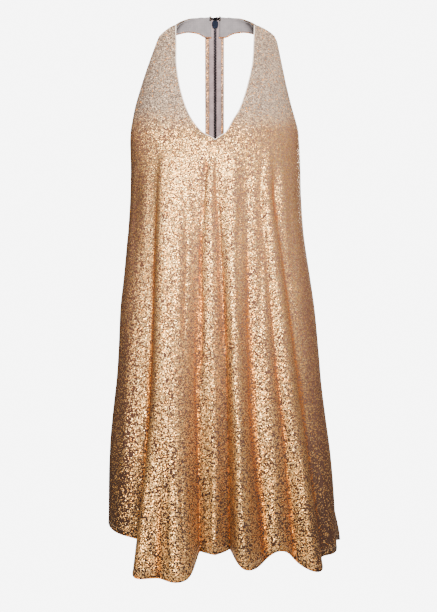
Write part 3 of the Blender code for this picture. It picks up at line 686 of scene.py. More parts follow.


# %% [markdown]
# ## From grid to cloth
#
# A panel is sewn from flat cloth. It could be modelled as a thin solid, but its two faces would drift
# apart in the folds, so it is one surface, and a Solidify modifier gives it its wall. The small creases
# are soft troughs and ridges a millimetre or two deep, where the photographed cloth buckles. They could
# be sculpted by eye, but a table can be read and changed. Between them the surface is never quite flat,
# because jersey relaxes unevenly.

# %% Creases, listed
CREASES = {
    "front": table(
        "x_top down_top x_low down_low width depth",
        (-3, 222, -16, 268, 4.5, -1.8),
        (-12, 234, -20, 350, 2.8, -1.9),
        (-21, 330, -23, 610, 2.6, -2.2),
        (-13, 340, -14, 640, 3.5, 0.9),
        (2, 232, 5, 360, 2.8, -1.9),
        (6, 340, 13, 580, 2.6, -1.6),
        (-111, 262, -113, 400, 6, 1.4),
        (-123, 240, -134, 420, 5, -1.8),
        (-71, 300, -74, 520, 4, -1.3),
        (-58, 320, -56, 560, 6, 1.1),
        (-44, 290, -49, 560, 4, -1.5),
        (-136, 470, -148, 800, 6, 1.0),
        (-150, 520, -163, 830, 6, -1.4),
        (-104, 700, -112, 905, 4, -1.2),
        (-76, 690, -76, 905, 3.5, -1.3),
        (-52, 700, -50, 905, 3.5, -1.2),
        (-9, 690, -12, 880, 3, -1.2),
        (13, 690, 15, 880, 3, -1.3),
        (40, 300, 36, 520, 4, -1.2),
        (56, 320, 60, 540, 6, 1.1),
        (70, 300, 75, 520, 4, -1.5),
        (84, 258, 103, 356, 5, -1.8),
        (103, 250, 115, 330, 6, 1.6),
        (119, 300, 126, 430, 4, -1.5),
        (92, 540, 118, 730, 4, -1.2),
        (45, 700, 53, 900, 3.2, -1.3),
        (68, 600, 84, 800, 3.2, 0.9),
        (95, 700, 97, 870, 4, 1.1),
        (133, 690, 143, 905, 4, -1.4),
        (160, 700, 181, 880, 4, -1.4),
        (150, 480, 165, 700, 5, -1.2),
    ),
    "left": table(
        "x_top down_top x_low down_low width depth",
        (-30, 262, -34, 520, 4, -1.2),
        (-52, 270, -60, 600, 5, 1.2),
        (-78, 262, -86, 480, 4, -1.4),
        (-104, 262, -118, 640, 5, -1.3),
        (-122, 300, -140, 700, 5, 1.1),
        (-48, 640, -46, 890, 3.5, -1.3),
        (-112, 660, -126, 880, 4, -1.2),
    ),
    "right": table(
        "x_top down_top x_low down_low width depth",
        (27, 262, 31, 480, 4, -1.3),
        (48, 280, 58, 620, 5, 1.2),
        (74, 262, 82, 560, 4, -1.4),
        (100, 262, 116, 540, 5, -1.2),
        (124, 290, 146, 690, 5, 1.2),
        (52, 660, 60, 890, 3.5, -1.3),
        (120, 650, 138, 880, 4, -1.2),
    ),
}
print("creases:", {name: len(rows["depth"]) for name, rows in CREASES.items()})

# %% A surface through a grid
def mesh_of(name, points, faces, smooth_shade=True):
    """A mesh from points in millimetres."""
    data = bpy.data.meshes.new(name)
    data.from_pydata([tuple(p) for p in np.asarray(points) * MM], [], faces)
    data.update()
    if smooth_shade:
        data.shade_smooth()
    return data


def loft(grids):
    """Points and faces of a surface through each grid's rows, welded where two grids meet."""
    points, faces, seen = [], [], {}
    for grid in grids:
        index = np.full(grid.shape[:2], -1)
        for place in np.ndindex(grid.shape[:2]):
            if not np.isnan(grid[place][0]):
                key = tuple(np.round(grid[place], 2))
                if key not in seen:
                    seen[key] = len(points)
                    points.append(grid[place])
                index[place] = seen[key]
        ring = np.stack([index[:-1, :-1], index[1:, :-1], index[1:, 1:], index[:-1, 1:]], axis=-1)
        ring = ring.reshape(-1, 4)
        ring = ring[(ring >= 0).all(axis=1)]
        corner = np.array([points[k] for k in ring.ravel()]).reshape(-1, 4, 3)
        normal = np.cross(corner[:, 2] - corner[:, 0], corner[:, 3] - corner[:, 1])
        away = corner.mean(axis=1)[:, :2] - np.array(BODY_AXIS.xy)
        faces += [tuple(r) for r in (ring if np.sum(normal[:, :2] * away) > 0 else ring[:, ::-1])]
    return np.array(points), faces


def normals_of(data):
    """The cloth's own direction at each point of a mesh."""
    found = np.empty(len(data.vertices) * 3, np.float32)
    data.vertex_normals.foreach_get("vector", found)
    return found.reshape(-1, 3).astype(float)


def area_of(grids):
    """The area of a panel's outer face, in square metres."""
    points, faces = loft(grids)
    corner = points[np.array(faces)]
    cross = np.cross(corner[:, 2] - corner[:, 0], corner[:, 3] - corner[:, 1])
    return float(np.linalg.norm(cross, axis=1).sum() / 2 * MM * MM)


print("front, square metres:", round(area_of(FRONTS.values()), 3))
print("backs, square metres:", [round(area_of([back]), 3) for back in BACKS.values()])

# %% Creased cloth
RIPPLE, RIPPLE_WIDE, RIPPLE_LONG = 0.55, 15.0, 120.0
WANDER, WANDER_LONG, FADE_IN, FADE_OUT = 1.2, 31.0, 0.25, 0.2
RELAX_STEPS, FOLD_RANGES = (14, 90), (1.6, 7.0)  # for creases, then for folds


def creased(points, normals, creases):
    """The points with their creases and ripples, moved along the cloth's own normals."""
    x, down = points[:, 0], -points[:, 2]
    lift = np.zeros(len(points))
    for k, (x_top, down_top, x_low, down_low, width, depth) in enumerate(zip(*creases.values())):
        share = (down - down_top) / (down_low - down_top)
        middle = x_top + (x_low - x_top) * share + WANDER * np.sin(down / WANDER_LONG + 2 * k)
        trough = np.exp(-(((x - middle) / width) ** 2))
        lift += depth * trough * ease(share / FADE_IN) * ease((1 - share) / FADE_OUT)
    wave = [noise.noise(Vector(point)) for point in points / (RIPPLE_WIDE, RIPPLE_WIDE, RIPPLE_LONG)]
    lift += RIPPLE * np.array(wave) * (0.3 + 0.7 * ease((down - V_POINT) / 80))
    return points + normals * lift[:, None]


def fold_height(points, normals, faces):
    """How far each point stands out of the relaxed cloth: 0 in a valley, 0.5 where flat, 1 on a ridge."""
    ring = np.array(faces)
    pairs = np.concatenate([ring[:, [k, (k + 1) % 4]] for k in range(4)])
    a, b = np.concatenate([pairs, pairs[:, ::-1]]).T
    count = np.bincount(a, minlength=len(points))[:, None]
    calm, out = points.copy(), 0
    for step in range(1, RELAX_STEPS[-1] + 1):
        mean = np.stack([np.bincount(a, weights=calm[b, k], minlength=len(points)) for k in range(3)], axis=1)
        calm = 0.5 * calm + 0.5 * mean / count
        if step in RELAX_STEPS:
            out = out + np.sum((points - calm) * normals, axis=1) / FOLD_RANGES[RELAX_STEPS.index(step)]
    return np.clip(0.5 + 0.5 * out, 0, 1)


print("deepest crease, mm:", min(rows["depth"].min() for rows in CREASES.values()))

# %% Front and backs
def link(obj, *looks, body="dress"):
    """Puts a new piece in the scene with its materials, on its body."""
    bpy.context.scene.collection.objects.link(obj)
    for look in looks:
        obj.data.materials.append(look)
    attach(obj, body)
    return obj


def wall(obj, thickness, inner=0, rim=0):
    """Gives a surface its wall. inner and rim say which of its looks the inside and the edge take."""
    solid = obj.modifiers.new("wall", "SOLIDIFY")
    solid.thickness, solid.offset = thickness * MM, -1
    solid.material_offset, solid.material_offset_rim = inner, rim


def cloth(name, grids, thickness, looks, node, area, creases=None):
    """A panel: surface, creases, fold heights and wall, for a node. looks are face, inside and edge."""
    points, faces = loft(grids)
    data = mesh_of(name, points, faces)
    if creases is not None:
        points = creased(points, normals_of(data), creases)
        data = mesh_of(name, points, faces)
    data.attributes.new("fold", "FLOAT", "POINT").data.foreach_set(
        "value", fold_height(points, normals_of(data), faces).astype(np.float32)
    )
    obj = link(bpy.data.objects.new(name, data), *looks)
    wall(obj, thickness, min(1, len(looks) - 1), min(2, len(looks) - 1))
    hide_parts(node)
    print(name, "has faces:", len(faces))


JERSEY_LOOKS, BACK_LOOKS = (FOIL, PLAIN, FOIL), (FOIL_BACK, PLAIN, FOIL_BACK)
cloth("front_cloth", list(FRONTS.values()), JERSEY, JERSEY_LOOKS, "front",
      0.388, CREASES["front"])
for name, area in (("left", 0.161), ("right", 0.17)):
    cloth(f"back_cloth_{name}", [BACKS[name]], JERSEY, BACK_LOOKS, f"back_{name}",
          area, CREASES[name])


# %% [markdown]
# ## Neckband, facing and bindings
#
# The neckband is cut double: jersey outside, a plain woven facing inside, so that it doesn't stretch
# under the dress's weight. The jersey rolls a little to the inside along its lower edge, which is the
# gold line under the facing. The V edge is bound, and the hem and armholes are turned in a narrow roll.
# A roll could be a strip that is folded over the edge. A curve with a round bevel, laid along the
# panel's own edge, looks as soft with far fewer faces and can't come away from the cloth.

# %% Layers and cords
def facing_out(grid):
    """The direction that points away from the body at each point of a grid."""
    normal = unit(np.cross(np.gradient(grid, axis=0), np.gradient(grid, axis=1)))
    return normal * np.sign(np.sum(normal[..., :2] * (grid[..., :2] - np.array(BODY_AXIS.xy))))


def under(grid, depth):
    """A layer that lies at a depth under a panel's outer face: the panel's own points, moved in."""
    return grid - facing_out(grid) * depth


def tube(name, path, radius, look, sides=3):
    """A round cord along a path, for bindings, rolled edges and wires."""
    line = bpy.data.curves.new(name, "CURVE")
    line.dimensions = "3D"
    line.bevel_depth = radius * MM
    line.bevel_resolution = sides
    line.use_fill_caps = True
    spline = line.splines.new("POLY")
    spline.points.add(len(path) - 1)
    for point, place in zip(spline.points, path):
        point.co = (*(Vector(place) * MM), 1)
    return link(bpy.data.objects.new(name, line), look)


LAYER = JERSEY + TAPE + 2 * LAYER_GAP
print("the facing lies this deep under the jersey's outer face, mm:", LAYER)

# %% Band, facing and edges
BAND_ROLL, BAND_ROLL_DROP, V_BINDING, ARMHOLE_ROLL, HEM_ROLL = 1.1, 0.7, 1.0, 0.9, 1.15
ARMHOLE_FOOT = 252.0

for side, name in HALVES:
    cloth(f"neckband_cloth_{name}", [band_grid(side)], JERSEY, JERSEY_LOOKS,
          f"neckband_{name}", 0.0033)
    cloth(f"band_facing_cloth_{name}", [under(band_grid(side, FACING_EDGE), LAYER)], FACING, (GREY,),
          f"band_facing_{name}", 0.0027)
    roll = under(band_grid(side), LAYER + FACING / 2)[1:, 0] - np.array([0, 0, BAND_ROLL_DROP])
    tube(f"band_rolled_edge_{name}", roll, BAND_ROLL, FOIL_BACK)

    half = under(FRONTS[name], JERSEY / 2)
    neck, armhole = half[:, -1], half[:, 0]
    armhole = armhole[armhole[:, 2] > -ARMHOLE_FOOT]
    tube(f"v_neck_binding_{name}", neck[neck[:, 2] > -V_POINT], V_BINDING, BINDING)
    tube(f"armhole_rolled_edge_{name}", armhole, ARMHOLE_ROLL, FOIL)
    tube(f"front_hem_roll_{name}", half[-1], HEM_ROLL, FOIL)
    tube(f"back_hem_roll_{name}", under(BACKS[name][-4:], JERSEY / 2)[-1], HEM_ROLL, FOIL_BACK)
    print(name, "armhole and front hem, mm:", [round(along_line(line)[-1]) for line in (armhole, half[-1])])


# %% [markdown]
# ## The zip
#
# A metal zip is a pair of woven tapes with teeth clamped over their corded edges. The slider's two
# plates wedge the teeth together, and its pull tab hangs from a lug on the outside. The teeth that the
# front view shows are their inner side, seen through the neckline. A bump on a flat strip could stand
# for them, but it goes flat from the side and no light passes it. So each tooth is three small boxes,
# a clamp, a head and a nose, which a loop sets along the curve of the back.

# %% Along centre back
def spine_line(low, high, step):
    """Centre back from one level to another: levels and the outer face's y."""
    down = np.arange(low, high + step / 2, step)
    return down, smooth(down, SPINE["down"], SPINE["y"])


def spine_grid(low, high, across, step=6.0):
    """A strip along centre back, at the x places given."""
    down, y = spine_line(low, high, step)
    return np.array([np.stack([across, [deep] * len(across), [-level] * len(across)], axis=1)
                     for level, deep in zip(down, y)])


def box_mesh(corners_low, corners_high):
    """The eight corners and six faces of a box."""
    (x0, y0, z0), (x1, y1, z1) = corners_low, corners_high
    points = [(x, y, z) for x in (x0, x1) for y in (y0, y1) for z in (z0, z1)]
    return points, [(0, 1, 3, 2), (4, 6, 7, 5), (0, 4, 5, 1), (2, 3, 7, 6), (0, 2, 6, 4), (1, 5, 7, 3)]


print("centre back at the zip's end, mm behind the nape:", spine_line(ZIP_END, ZIP_END, 1)[1].round(1))

# %% Teeth
SLIDER_TOP, SLIDER_LENGTH = 9.2, 12.8
TOOTH_PITCH, CHAIN_THICKNESS, TOOTH_WEAR, TOP_STOP_DOWN = 2.6, 2.6, 0.18, -SLIDER_TOP - 1.5
# How far across each part of a tooth reaches, half its thickness, and its height
CLAMP = ((0.7, 2.7), CHAIN_THICKNESS / 2, 1.9)
HEAD = ((-0.85, 0.7), CHAIN_THICKNESS * 0.38, 1.24)
NOSE = ((-0.6, 0.75), CHAIN_THICKNESS * 0.15, TOOTH_PITCH + 0.02)
TOP_STOP = ((-0.02, 2.8), CHAIN_THICKNESS / 2 + 0.1, 2.6)
BOTTOM_STOP = ((-0.6, 2.8), CHAIN_THICKNESS / 2 + 0.1, 3.6)


def soften(obj, width, segments):
    """Rounds a metal piece's edges, which are never quite sharp once plated."""
    edge = obj.modifiers.new("rounded", "BEVEL")
    edge.width, edge.segments = width * MM, segments


def teeth(name, side):
    """One row of teeth between its two stops, each square to the curve of the back."""
    low = SLIDER_LENGTH - SLIDER_TOP + SEAM_GAP
    down, y = spine_line(low + (0 if side < 0 else TOOTH_PITCH / 2), ZIP_END - 2, TOOTH_PITCH)
    slope = np.append(0, np.gradient(y, down))
    down, y = np.append(TOP_STOP_DOWN, down), np.append(y[0], y)
    stops = {0: [TOP_STOP], len(down) - 1: [BOTTOM_STOP]}
    depth = JERSEY + LAYER_GAP + TAPE / 2
    points, faces = [], []
    for k, (level, deep, lean) in enumerate(zip(down, y, slope)):
        away = np.array([0, 1, lean]) / math.hypot(1, lean)
        centre = np.array([0, deep, -level]) - away * depth
        up = np.array([0, -away[2], away[1]])
        for (x0, x1), thick, tall in stops.get(k, (CLAMP, HEAD, NOSE)):
            corners, rings = box_mesh((x0, -thick, -tall / 2), (x1, thick, tall / 2))
            rings = np.array(rings)[:, ::side] + len(points)
            points += [centre + np.array([side * x, 0, 0]) + away * y + up * z for x, y, z in corners]
            faces += [tuple(ring) for ring in rings]
    obj = link(bpy.data.objects.new(name, mesh_of(name, points, faces, False)), DARK)
    soften(obj, TOOTH_WEAR, 1)
    print(name, "has teeth:", len(down) - 2)
    return obj


rows_of_teeth = [teeth(f"zip_teeth_{name}", side) for side, name in HALVES]
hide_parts("zip_chain")

# %% Tapes
TAPE_INNER, TAPE_OUTER, TAPE_TOP, TAPE_FOOT, TAPE_STEP = 2.0, 10.2, -14.6, 446.0, 6.0
CORD_X, CORD_RADIUS = 1.55, 0.8

for side, name in HALVES:
    down, y = spine_line(TAPE_TOP, TAPE_FOOT, TAPE_STEP)
    cord = [(side * CORD_X, deep - JERSEY - LAYER_GAP - TAPE / 2, -level) for level, deep in zip(down, y)]
    tube(f"zip_tape_cord_{name}", cord, CORD_RADIUS, MAUVE)
    across = np.sort(side * np.linspace(TAPE_INNER, TAPE_OUTER, 7))
    tape = under(spine_grid(TAPE_TOP, TAPE_FOOT, across), JERSEY + LAYER_GAP)
    cloth(f"zip_tape_cloth_{name}", [tape], TAPE, (MAUVE,),
          f"zip_tape_{name}", 0.0038)
print("tapes, mm long:", round(TAPE_FOOT - TAPE_TOP, 1))

# %% Slider
SLIDER_WIDTH, SLIDER_TAPER, PLATE, SLOT, TAPE_PLANE = 10.8, 0.78, 1.0, 1.8, 1.8
PLATE_WAIST, PLATE_SHOULDER, PLATE_CORNER, NOTCH_TOP, NOTCH_FOOT, NOTCH_DEPTH = 5.5, 2.5, 1.6, 1.2, 0.9, 0.8
WEB, WEDGE_TOP, WEDGE_FOOT, WEDGE_TIP, WEDGE_SUNK = 3.4, SLIDER_TOP + 0.22, SLIDER_TOP - 7, 0.5, 0.3
LUG_WIDTH, LUG_THICKNESS, LUG_UNDERSIDE, LUG_FOOT, LUG_SUNK = 1.6, 1.1, 6.1, (-2.4, 8.6), 0.2
LUG_LEAN, LUG_FLARE = 0.8, 0.4


def prism(name, outline, low, high, rounding, place=lambda x, z, y: (x, y, z)):
    """A flat outline pushed from low to high, with its edges rounded. place turns it the right way."""
    mesh = bmesh.new()
    face = mesh.faces.new([mesh.verts.new(Vector(place(a, b, low)) * MM) for a, b in outline])
    pushed = bmesh.ops.extrude_face_region(mesh, geom=[face])
    far = [item for item in pushed["geom"] if isinstance(item, bmesh.types.BMVert)]
    bmesh.ops.translate(mesh, verts=far, vec=Vector(place(0, 0, high - low)) * MM)
    bmesh.ops.recalc_face_normals(mesh, faces=mesh.faces)
    data = bpy.data.meshes.new(name)
    mesh.to_mesh(data)
    mesh.free()
    obj = link(bpy.data.objects.new(name, data), NAVY)
    soften(obj, rounding, 3)
    return obj


def slider_plate(name, y0, y1):
    """One plate: square shoulders above, narrower below, where the teeth come out closed."""
    half, foot = SLIDER_WIDTH / 2, SLIDER_TOP - SLIDER_LENGTH
    outline = [(half * SLIDER_TAPER, foot), (half, foot + PLATE_WAIST), (half, SLIDER_TOP - PLATE_SHOULDER),
               (half - PLATE_CORNER, SLIDER_TOP), (NOTCH_TOP, SLIDER_TOP),
               (NOTCH_FOOT, SLIDER_TOP - NOTCH_DEPTH)]
    outline += [(-x, z) for x, z in reversed(outline)]
    return prism(name, outline, y0, y1, 0.35)


inside, outside = TAPE_PLANE - SLOT / 2, TAPE_PLANE + SLOT / 2
slider_plate("slider_inner_plate", inside - PLATE, inside)
outer_plate = slider_plate("slider_outer_plate", outside, outside + PLATE)
wedge = [(WEB / 2, WEDGE_TOP), (WEDGE_TIP, WEDGE_FOOT), (-WEDGE_TIP, WEDGE_FOOT), (-WEB / 2, WEDGE_TOP)]
prism("slider_wedge", wedge, inside - WEDGE_SUNK, outside + WEDGE_SUNK, 0.15)
base, crown, (low, high) = outside + PLATE - LUG_SUNK, LUG_UNDERSIDE + LUG_THICKNESS, LUG_FOOT
arch = [(base, low), (crown, low + LUG_LEAN), (crown, high - LUG_LEAN), (base, high),
        (base, high - LUG_THICKNESS), (LUG_UNDERSIDE, high - LUG_THICKNESS - LUG_FLARE),
        (LUG_UNDERSIDE, low + LUG_THICKNESS + LUG_FLARE), (base, low + LUG_THICKNESS)]
prism("slider_lug", arch, -LUG_WIDTH / 2, LUG_WIDTH / 2, 0.25, lambda y, z, x: (x, y, z))
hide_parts("zip_slider")
print("slider, mm from plate to lug:", round(crown - inside + PLATE, 1))

# %% Pull tab
PULL_Z, PULL_AXIS_Y, PULL_THICKNESS, PULL_LENGTH, PULL_ROUNDING = 3.0, 4.9, 1.2, 22.0, 0.15
PULL_BAR, PULL_EYE, PULL_EYE_LENGTH, PULL_NECK, PULL_SHOULDER, PULL_TOP = 1.4, 2.6, 7.2, -9.0, -6.0, -0.3
PULL_HEAD_WIDTH, PULL_NECK_WIDTH, PULL_FOOT_WIDTH, PULL_HOLE, PULL_HOLE_UP = 5.2, 3.8, 6.0, 1.1, 3.0


def circle(radius, sides, up=0.0):
    """Points round a circle."""
    turn = np.linspace(0, 2 * math.pi, sides, endpoint=False)
    return [(radius * math.cos(t), up + radius * math.sin(t)) for t in turn]


def pull_outlines():
    """The tab's outer edge, the eye that goes round the lug, and a hole; y is 0 at the hinge."""
    foot, radius = PULL_BAR / 2 - PULL_LENGTH, PULL_FOOT_WIDTH / 2
    end = [(radius * math.cos(t), foot + radius * (1 - math.sin(t))) for t in np.linspace(0, math.pi, 17)]
    head, neck = PULL_HEAD_WIDTH / 2, PULL_NECK_WIDTH / 2
    upper = [(-neck, PULL_NECK), (-head, PULL_SHOULDER), (-head, PULL_TOP), (1 - head, PULL_BAR / 2)]
    eye = [(-PULL_EYE / 2, -PULL_BAR / 2), (PULL_EYE / 2, -PULL_BAR / 2)]
    eye += [(-x, -PULL_EYE_LENGTH) for x, _ in eye]
    hole = circle(PULL_HOLE, 16, foot + PULL_HOLE_UP)
    return end + upper + [(-x, y) for x, y in reversed(upper)], eye, hole


def pull_tab():
    """The pull tab: a flat curve filled between its outlines and rounded, on its own body."""
    plate = bpy.data.curves.new("pull_tab", "CURVE")
    plate.dimensions, plate.fill_mode = "2D", "BOTH"
    plate.extrude = (PULL_THICKNESS / 2 - PULL_ROUNDING) * MM
    plate.bevel_depth, plate.bevel_resolution = PULL_ROUNDING * MM, 2
    plate.offset = -PULL_ROUNDING * MM
    for points in pull_outlines():
        line = plate.splines.new("POLY")
        line.points.add(len(points) - 1)
        line.use_cyclic_u = True
        for point, (x, y) in zip(line.points, points):
            point.co = (x * MM, y * MM, 0, 1)
    tab = bpy.data.objects.new("pull_tab", plate)
    tab.rotation_euler = (math.pi / 2, 0, 0)
    tab.location = Vector((0, PULL_AXIS_Y, PULL_Z)) * MM
    link(tab, NAVY, body="pull")
    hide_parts("zip_pull")


pull_tab()
print("pull tab, mm long and wide:", PULL_LENGTH, PULL_FOOT_WIDTH)


# %% [markdown]
# ## Hook and eye
#
# Above the slider a small hook and eye takes the strain off the zip. Both are bent from wire and sewn
# to the facing with a few turns of thread through their rings. A wire could be joined from cylinders
# and spheres. A curve with a round bevel stays one piece at every bend, and cutting the path's corners
# twice bends it as pliers would. Only the upper half is drawn, because the lower one mirrors it.

# %% Hook and eye
HOOK_Z, WIRE, WIRE_TURN, WIRE_SEAT, WIRE_RING_X, SHANK = 12.8, 0.75, 1.3, -1.0, 8.0, 0.8
HOOK_BEND = [(-6, 0, SHANK), (-2, 0, SHANK), (1.6, 0, SHANK), (2.3, 0.4, SHANK), (2.6, 1.2, SHANK),
             (2.3, 2.0, SHANK), (1.6, 2.4, SHANK), (-1.5, 2.4, SHANK), (-2.4, 2.4, 0.5)]
EYE_BOW = [(6.4, 0, SHANK), (4.6, 0.4, 1.6), (3, 1.1, 1.9), (1.7, 1.2, 1.9), (1.2, 1.2, 1.2)]


def rounded(path, rounds=2):
    """A path with its corners cut twice, so that a wire bends and doesn't break."""
    for _ in range(rounds):
        path = np.asarray(path, float)
        cut = [path[:1]]
        for a, b in zip(path[:-1], path[1:]):
            cut.append(np.array([0.75 * a + 0.25 * b, 0.25 * a + 0.75 * b]))
        path = np.concatenate(cut + [path[-1:]])
    return path


def wire(name, x, start, sweep, bend, node):
    """A wire fastening whose lower half mirrors the upper one about its own middle height."""
    z = HOOK_Z + SHANK + WIRE_TURN
    angles = np.radians(np.linspace(start, start + sweep, 9))
    upper = [(x + WIRE_TURN * math.cos(a), WIRE_SEAT, z + WIRE_TURN * math.sin(a)) for a in angles]
    upper += [(px, WIRE_SEAT - lift, HOOK_Z + rise) for px, lift, rise in bend]
    path = rounded(upper + [(px, y, 2 * HOOK_Z - pz) for px, y, pz in reversed(upper)])
    obj = tube(name, path, WIRE, DARK, sides=4)
    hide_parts(node)
    print(name, "is bent from a wire, mm long:", round(along_line(path)[-1]))


wire("hook_wire", -WIRE_RING_X, 10, 260, HOOK_BEND, "hook")
wire("eye_wire", WIRE_RING_X, 170, -260, EYE_BOW, "eye")

# %% Their sewing
SEWN_TURNS, SEWN_SPIN, SEWN_LIFT, SEWN_RADIUS = 12, 2.4, 0.45, 0.16
SEWN_OUT, SEWN_WIDE, SEWN_TALL = 0.6, 0.9, 1.5

for side, name in HALVES:
    for way, level in ((1, "upper"), (-1, "lower")):
        z = HOOK_Z + way * (SHANK + WIRE_TURN)
        sewn = []
        for k in range(SEWN_TURNS):
            x = side * (WIRE_RING_X + SEWN_WIDE * math.cos(k * SEWN_SPIN) + SEWN_OUT)
            sewn.append((x, WIRE_SEAT - SEWN_LIFT * (k % 2), z + SEWN_TALL * math.sin(k * SEWN_SPIN)))
        tube(f"hook_sewing_{name}_{level}", sewn, SEWN_RADIUS, THREAD, sides=1)
print("turns of thread through each ring:", SEWN_TURNS)


# %% [markdown]
# ## Seams from the inside, and topstitching
#
# Cloth can't be joined edge to edge: each seam has turnings, folded back inside the dress. They also
# close the fine gap between two panels. The zip is held by a row of topstitching on each side. A
# turning could be a strip drawn for itself, but it would drift from its seam. Made from the panel's
# own points, moved in, it follows every fold. Stitches could be a dotted line in the material, which
# stays flat, so each is a short rounded thread that dips into the cloth.

# %% Turnings
TURNING, OVERLAP, TURNED_CLOTH, DEPTH = 10.0, 0.9, 0.8, JERSEY + 0.1
STRIP_MARGINS = {"left": 7.0, "right": 4.8}
STRIPS = {name: strip_grid(side) for side, name in HALVES}
BODIES = {name: back[np.isfinite(back[:, -1, 0])] for name, back in BACKS.items()}


def beside(grid, first, offsets):
    """Points at distances from a grid's first (or last) column along each row, and the way out there."""
    rows = grid if first else grid[:, ::-1]
    out = facing_out(grid) if first else facing_out(grid)[:, ::-1]
    places, ways = [], []
    for line, way in zip(rows, out):
        line = np.concatenate([line[:1] - unit(line[1] - line[0]) * OVERLAP, line])
        way = np.concatenate([way[:1], way])
        along = along_line(line) - OVERLAP
        places.append(point_at(offsets, along, line))
        ways.append(point_at(offsets, along, way))
    return np.array(places), unit(np.array(ways))


def turning(name, grid, first, start=-OVERLAP, width=TURNING, depth=DEPTH, looks=(FOIL_BACK, PLAIN)):
    """A seam's turning: a strip of the same cloth folded back under its edge, a little past the seam."""
    places, ways = beside(grid, first, np.linspace(start, start + width, 4))
    points, faces = loft([places - ways * depth])
    obj = link(bpy.data.objects.new(name, mesh_of(name, points, faces)), *looks)
    wall(obj, TURNED_CLOTH, 1)


for side, name in HALVES:
    half, body = FRONTS[name], BODIES[name]
    under_arm = int(np.argmax(half[:, 0, 2] < -BACK_TOP - 2))
    below_zip = int(np.argmax(body[:, 0, 2] < -ZIP_END - SEAM_CLOSES))
    turning(f"side_turning_front_{name}", half[under_arm:], True)
    turning(f"side_turning_back_{name}", body[2:], False, 0.2)
    turning(f"centre_turning_{name}", body[below_zip:], True, -OVERLAP if side < 0 else 1.0)
    turning(f"strip_turned_edge_{name}", STRIPS[name], False, 0.1, STRIP_MARGINS[name], DEPTH + 0.1,
            (FOIL_TURNED, FOIL_TURNED))
    print(name, "side seam, mm:", round(along_line(half[under_arm:, 0])[-1]))

# %% Stitches
ZIP_STITCH_IN, STRIP_STITCH_IN, HEM_STITCH_UP, HEM_THREAD = 2.2, 2.5, 0.6, 0.15
STITCH = table("share lift wide", (0, -0.25, 0.5), (0.15, 0.1, 1), (0.5, 0.2, 1.05), (0.85, 0.1, 1),
               (1, -0.25, 0.5))


def stitches(name, path, away, radius=0.22, length=2.4, gap=0.9, sides=5):
    """A run of stitches along a path: short rounded threads that dip at both ends."""
    along = along_line(path)
    turn = np.linspace(0, 2 * math.pi, sides, endpoint=False)
    points, faces = [], []
    starts = np.arange(gap, along[-1] - length, length + gap)
    for start in starts:
        first = len(points)
        for share, lift, wide in zip(*STITCH.values()):
            at = start + length * share
            centre, up = point_at(at, along, path), unit(point_at(at, along, away))
            across = unit(np.cross(point_at(at + 0.5, along, path) - point_at(at - 0.5, along, path), up))
            ring = np.outer(np.cos(turn), across) + np.outer(np.sin(turn), up)
            points += list(centre + up * lift + radius * wide * ring)
        last = len(points) - sides
        for a in range(first, last, sides):
            b = a + sides
            faces += [(a + k, a + (k + 1) % sides, b + (k + 1) % sides, b + k) for k in range(sides)]
        faces += [tuple(range(first + sides - 1, first - 1, -1)), tuple(range(last, last + sides))]
    link(bpy.data.objects.new(name, mesh_of(name, points, faces)), THREAD)
    return len(starts)


for side, name in HALVES:
    strip, body = STRIPS[name], BODIES[name]
    zipped = np.concatenate([strip, body[:, : strip.shape[1]]])
    zipped = zipped[zipped[:, 0, 2] > -ZIP_END]
    places, ways = beside(zipped, True, [ZIP_STITCH_IN])
    print(name, "stitches beside the zip:", stitches(f"zip_topstitch_{name}", places[:, 0], ways[:, 0]))
    places, ways = beside(zipped[zipped[:, 0, 2] > -STRIP_FOOT + 10], False, [STRIP_STITCH_IN])
    stitches(f"strip_topstitch_{name}", places[:, 0], ways[:, 0])
    for panel, grid in (("front", FRONTS[name]), ("back", body)):
        above_hem = HEM_STITCH_UP * grid[-2] + (1 - HEM_STITCH_UP) * grid[-1]
        stitches(f"{panel}_hem_stitch_{name}", above_hem, facing_out(grid[-6:])[-1], HEM_THREAD)


# %% [markdown]
# ## Studio
#
# The picture was taken level with the waist from about two and a half metres, against white. A large
# soft light hangs above the camera, so the front glows, the sides fall off to brown and the hem is
# darker than the chest. A sun lamp would be simpler, but its hard shadows would cut across the folds,
# so all three lights are broad areas. The paper behind is bright only to the camera: a room that
# bright would wash the sides out.

# %% Floor and lights
FLOOR_Z, FLOOR_RADIUS, FLOOR_SIDES = -1.42, 1.75, 96
LAMPS = (
    ("key", (0.32, -2.0, 0.7), (0, -0.1, -0.25), (1.3, 0.9), 240),
    ("fill", (-0.1, -2.45, -0.1), (0, -0.1, -0.3), (0.9, 0.9), 32),
    ("back", (0.5, 2.3, 0.5), (0, 0, -0.4), (1.2, 1.0), 125),
)


def floor():
    """A round pale floor, well below the hem."""
    data = bpy.data.meshes.new("pale_floor")
    ring = [(x, y, FLOOR_Z) for x, y in circle(FLOOR_RADIUS, FLOOR_SIDES)]
    data.from_pydata(ring, [], [tuple(range(FLOOR_SIDES))])
    data.update()
    disc = bpy.data.objects.new("pale_floor", data)
    bpy.context.scene.collection.objects.link(disc)
    look = Look("painted floor, matte", Roughness=0.95, Specular_IOR_Level=0.1, Base_Color=linear("#f2f1ef"))
    data.materials.append(look.material)


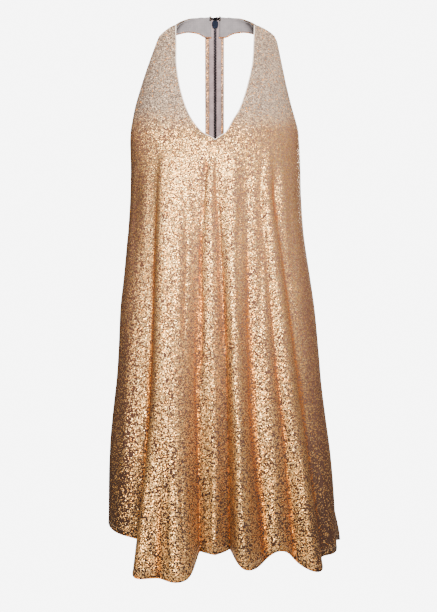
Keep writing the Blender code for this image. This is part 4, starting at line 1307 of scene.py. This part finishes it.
def lamp(name, at, towards, size, power):
    """A soft rectangular light, faintly warm, that faces a point."""
    light = bpy.data.lights.new(name, "AREA")
    light.shape = "RECTANGLE"
    light.size, light.size_y = size
    light.energy = power
    light.color = linear("#fffaf2")[:3]
    obj = bpy.data.objects.new(name, light)
    obj.location = at
    obj.rotation_euler = (Vector(towards) - Vector(at)).to_track_quat("-Z", "Y").to_euler()
    bpy.context.scene.collection.objects.link(obj)


floor()
for settings in LAMPS:
    lamp(*settings)
print("lamps, watts:", {name: power for name, *_, power in LAMPS})

# %% Paper and camera
PAPER_SEEN, ROOM_LIT = 9.0, 0.07
SENSOR, VIEWER_AT = 36, (0.0058, -2.5, -0.481)
PICTURE_TALL, PIXEL, PIXEL_AT = 612, 1.65, 2400  # a pixel shows 1.65 mm of what is 2.4 m away


def surround(seen, lit):
    """Bright paper all round as the camera sees it, and the dim room that lights the dress."""
    world = bpy.data.worlds.new("studio")
    world.use_nodes = True
    nodes, links = world.node_tree.nodes, world.node_tree.links
    room = nodes["Background"]
    room.inputs["Color"].default_value = (1, 1, 1, 1)
    room.inputs["Strength"].default_value = lit
    paper = nodes.new("ShaderNodeBackground")
    paper.inputs["Strength"].default_value = seen
    path = nodes.new("ShaderNodeLightPath")
    choose = nodes.new("ShaderNodeMixShader")
    links.new(path.outputs["Is Camera Ray"], choose.inputs[0])
    links.new(room.outputs[0], choose.inputs[1])
    links.new(paper.outputs[0], choose.inputs[2])
    links.new(choose.outputs[0], nodes["World Output"].inputs["Surface"])
    bpy.context.scene.world = world


surround(PAPER_SEEN, ROOM_LIT)
camera = bpy.data.cameras.new("camera")
camera.sensor_width = SENSOR
camera.lens = SENSOR * PIXEL_AT / (PICTURE_TALL * PIXEL)
viewer = bpy.data.objects.new("camera", camera)
viewer.location = VIEWER_AT
viewer.rotation_euler = (math.pi / 2, 0, 0)
bpy.context.scene.collection.objects.link(viewer)
bpy.context.scene.camera = viewer
print("camera lens, mm:", round(camera.lens, 2))
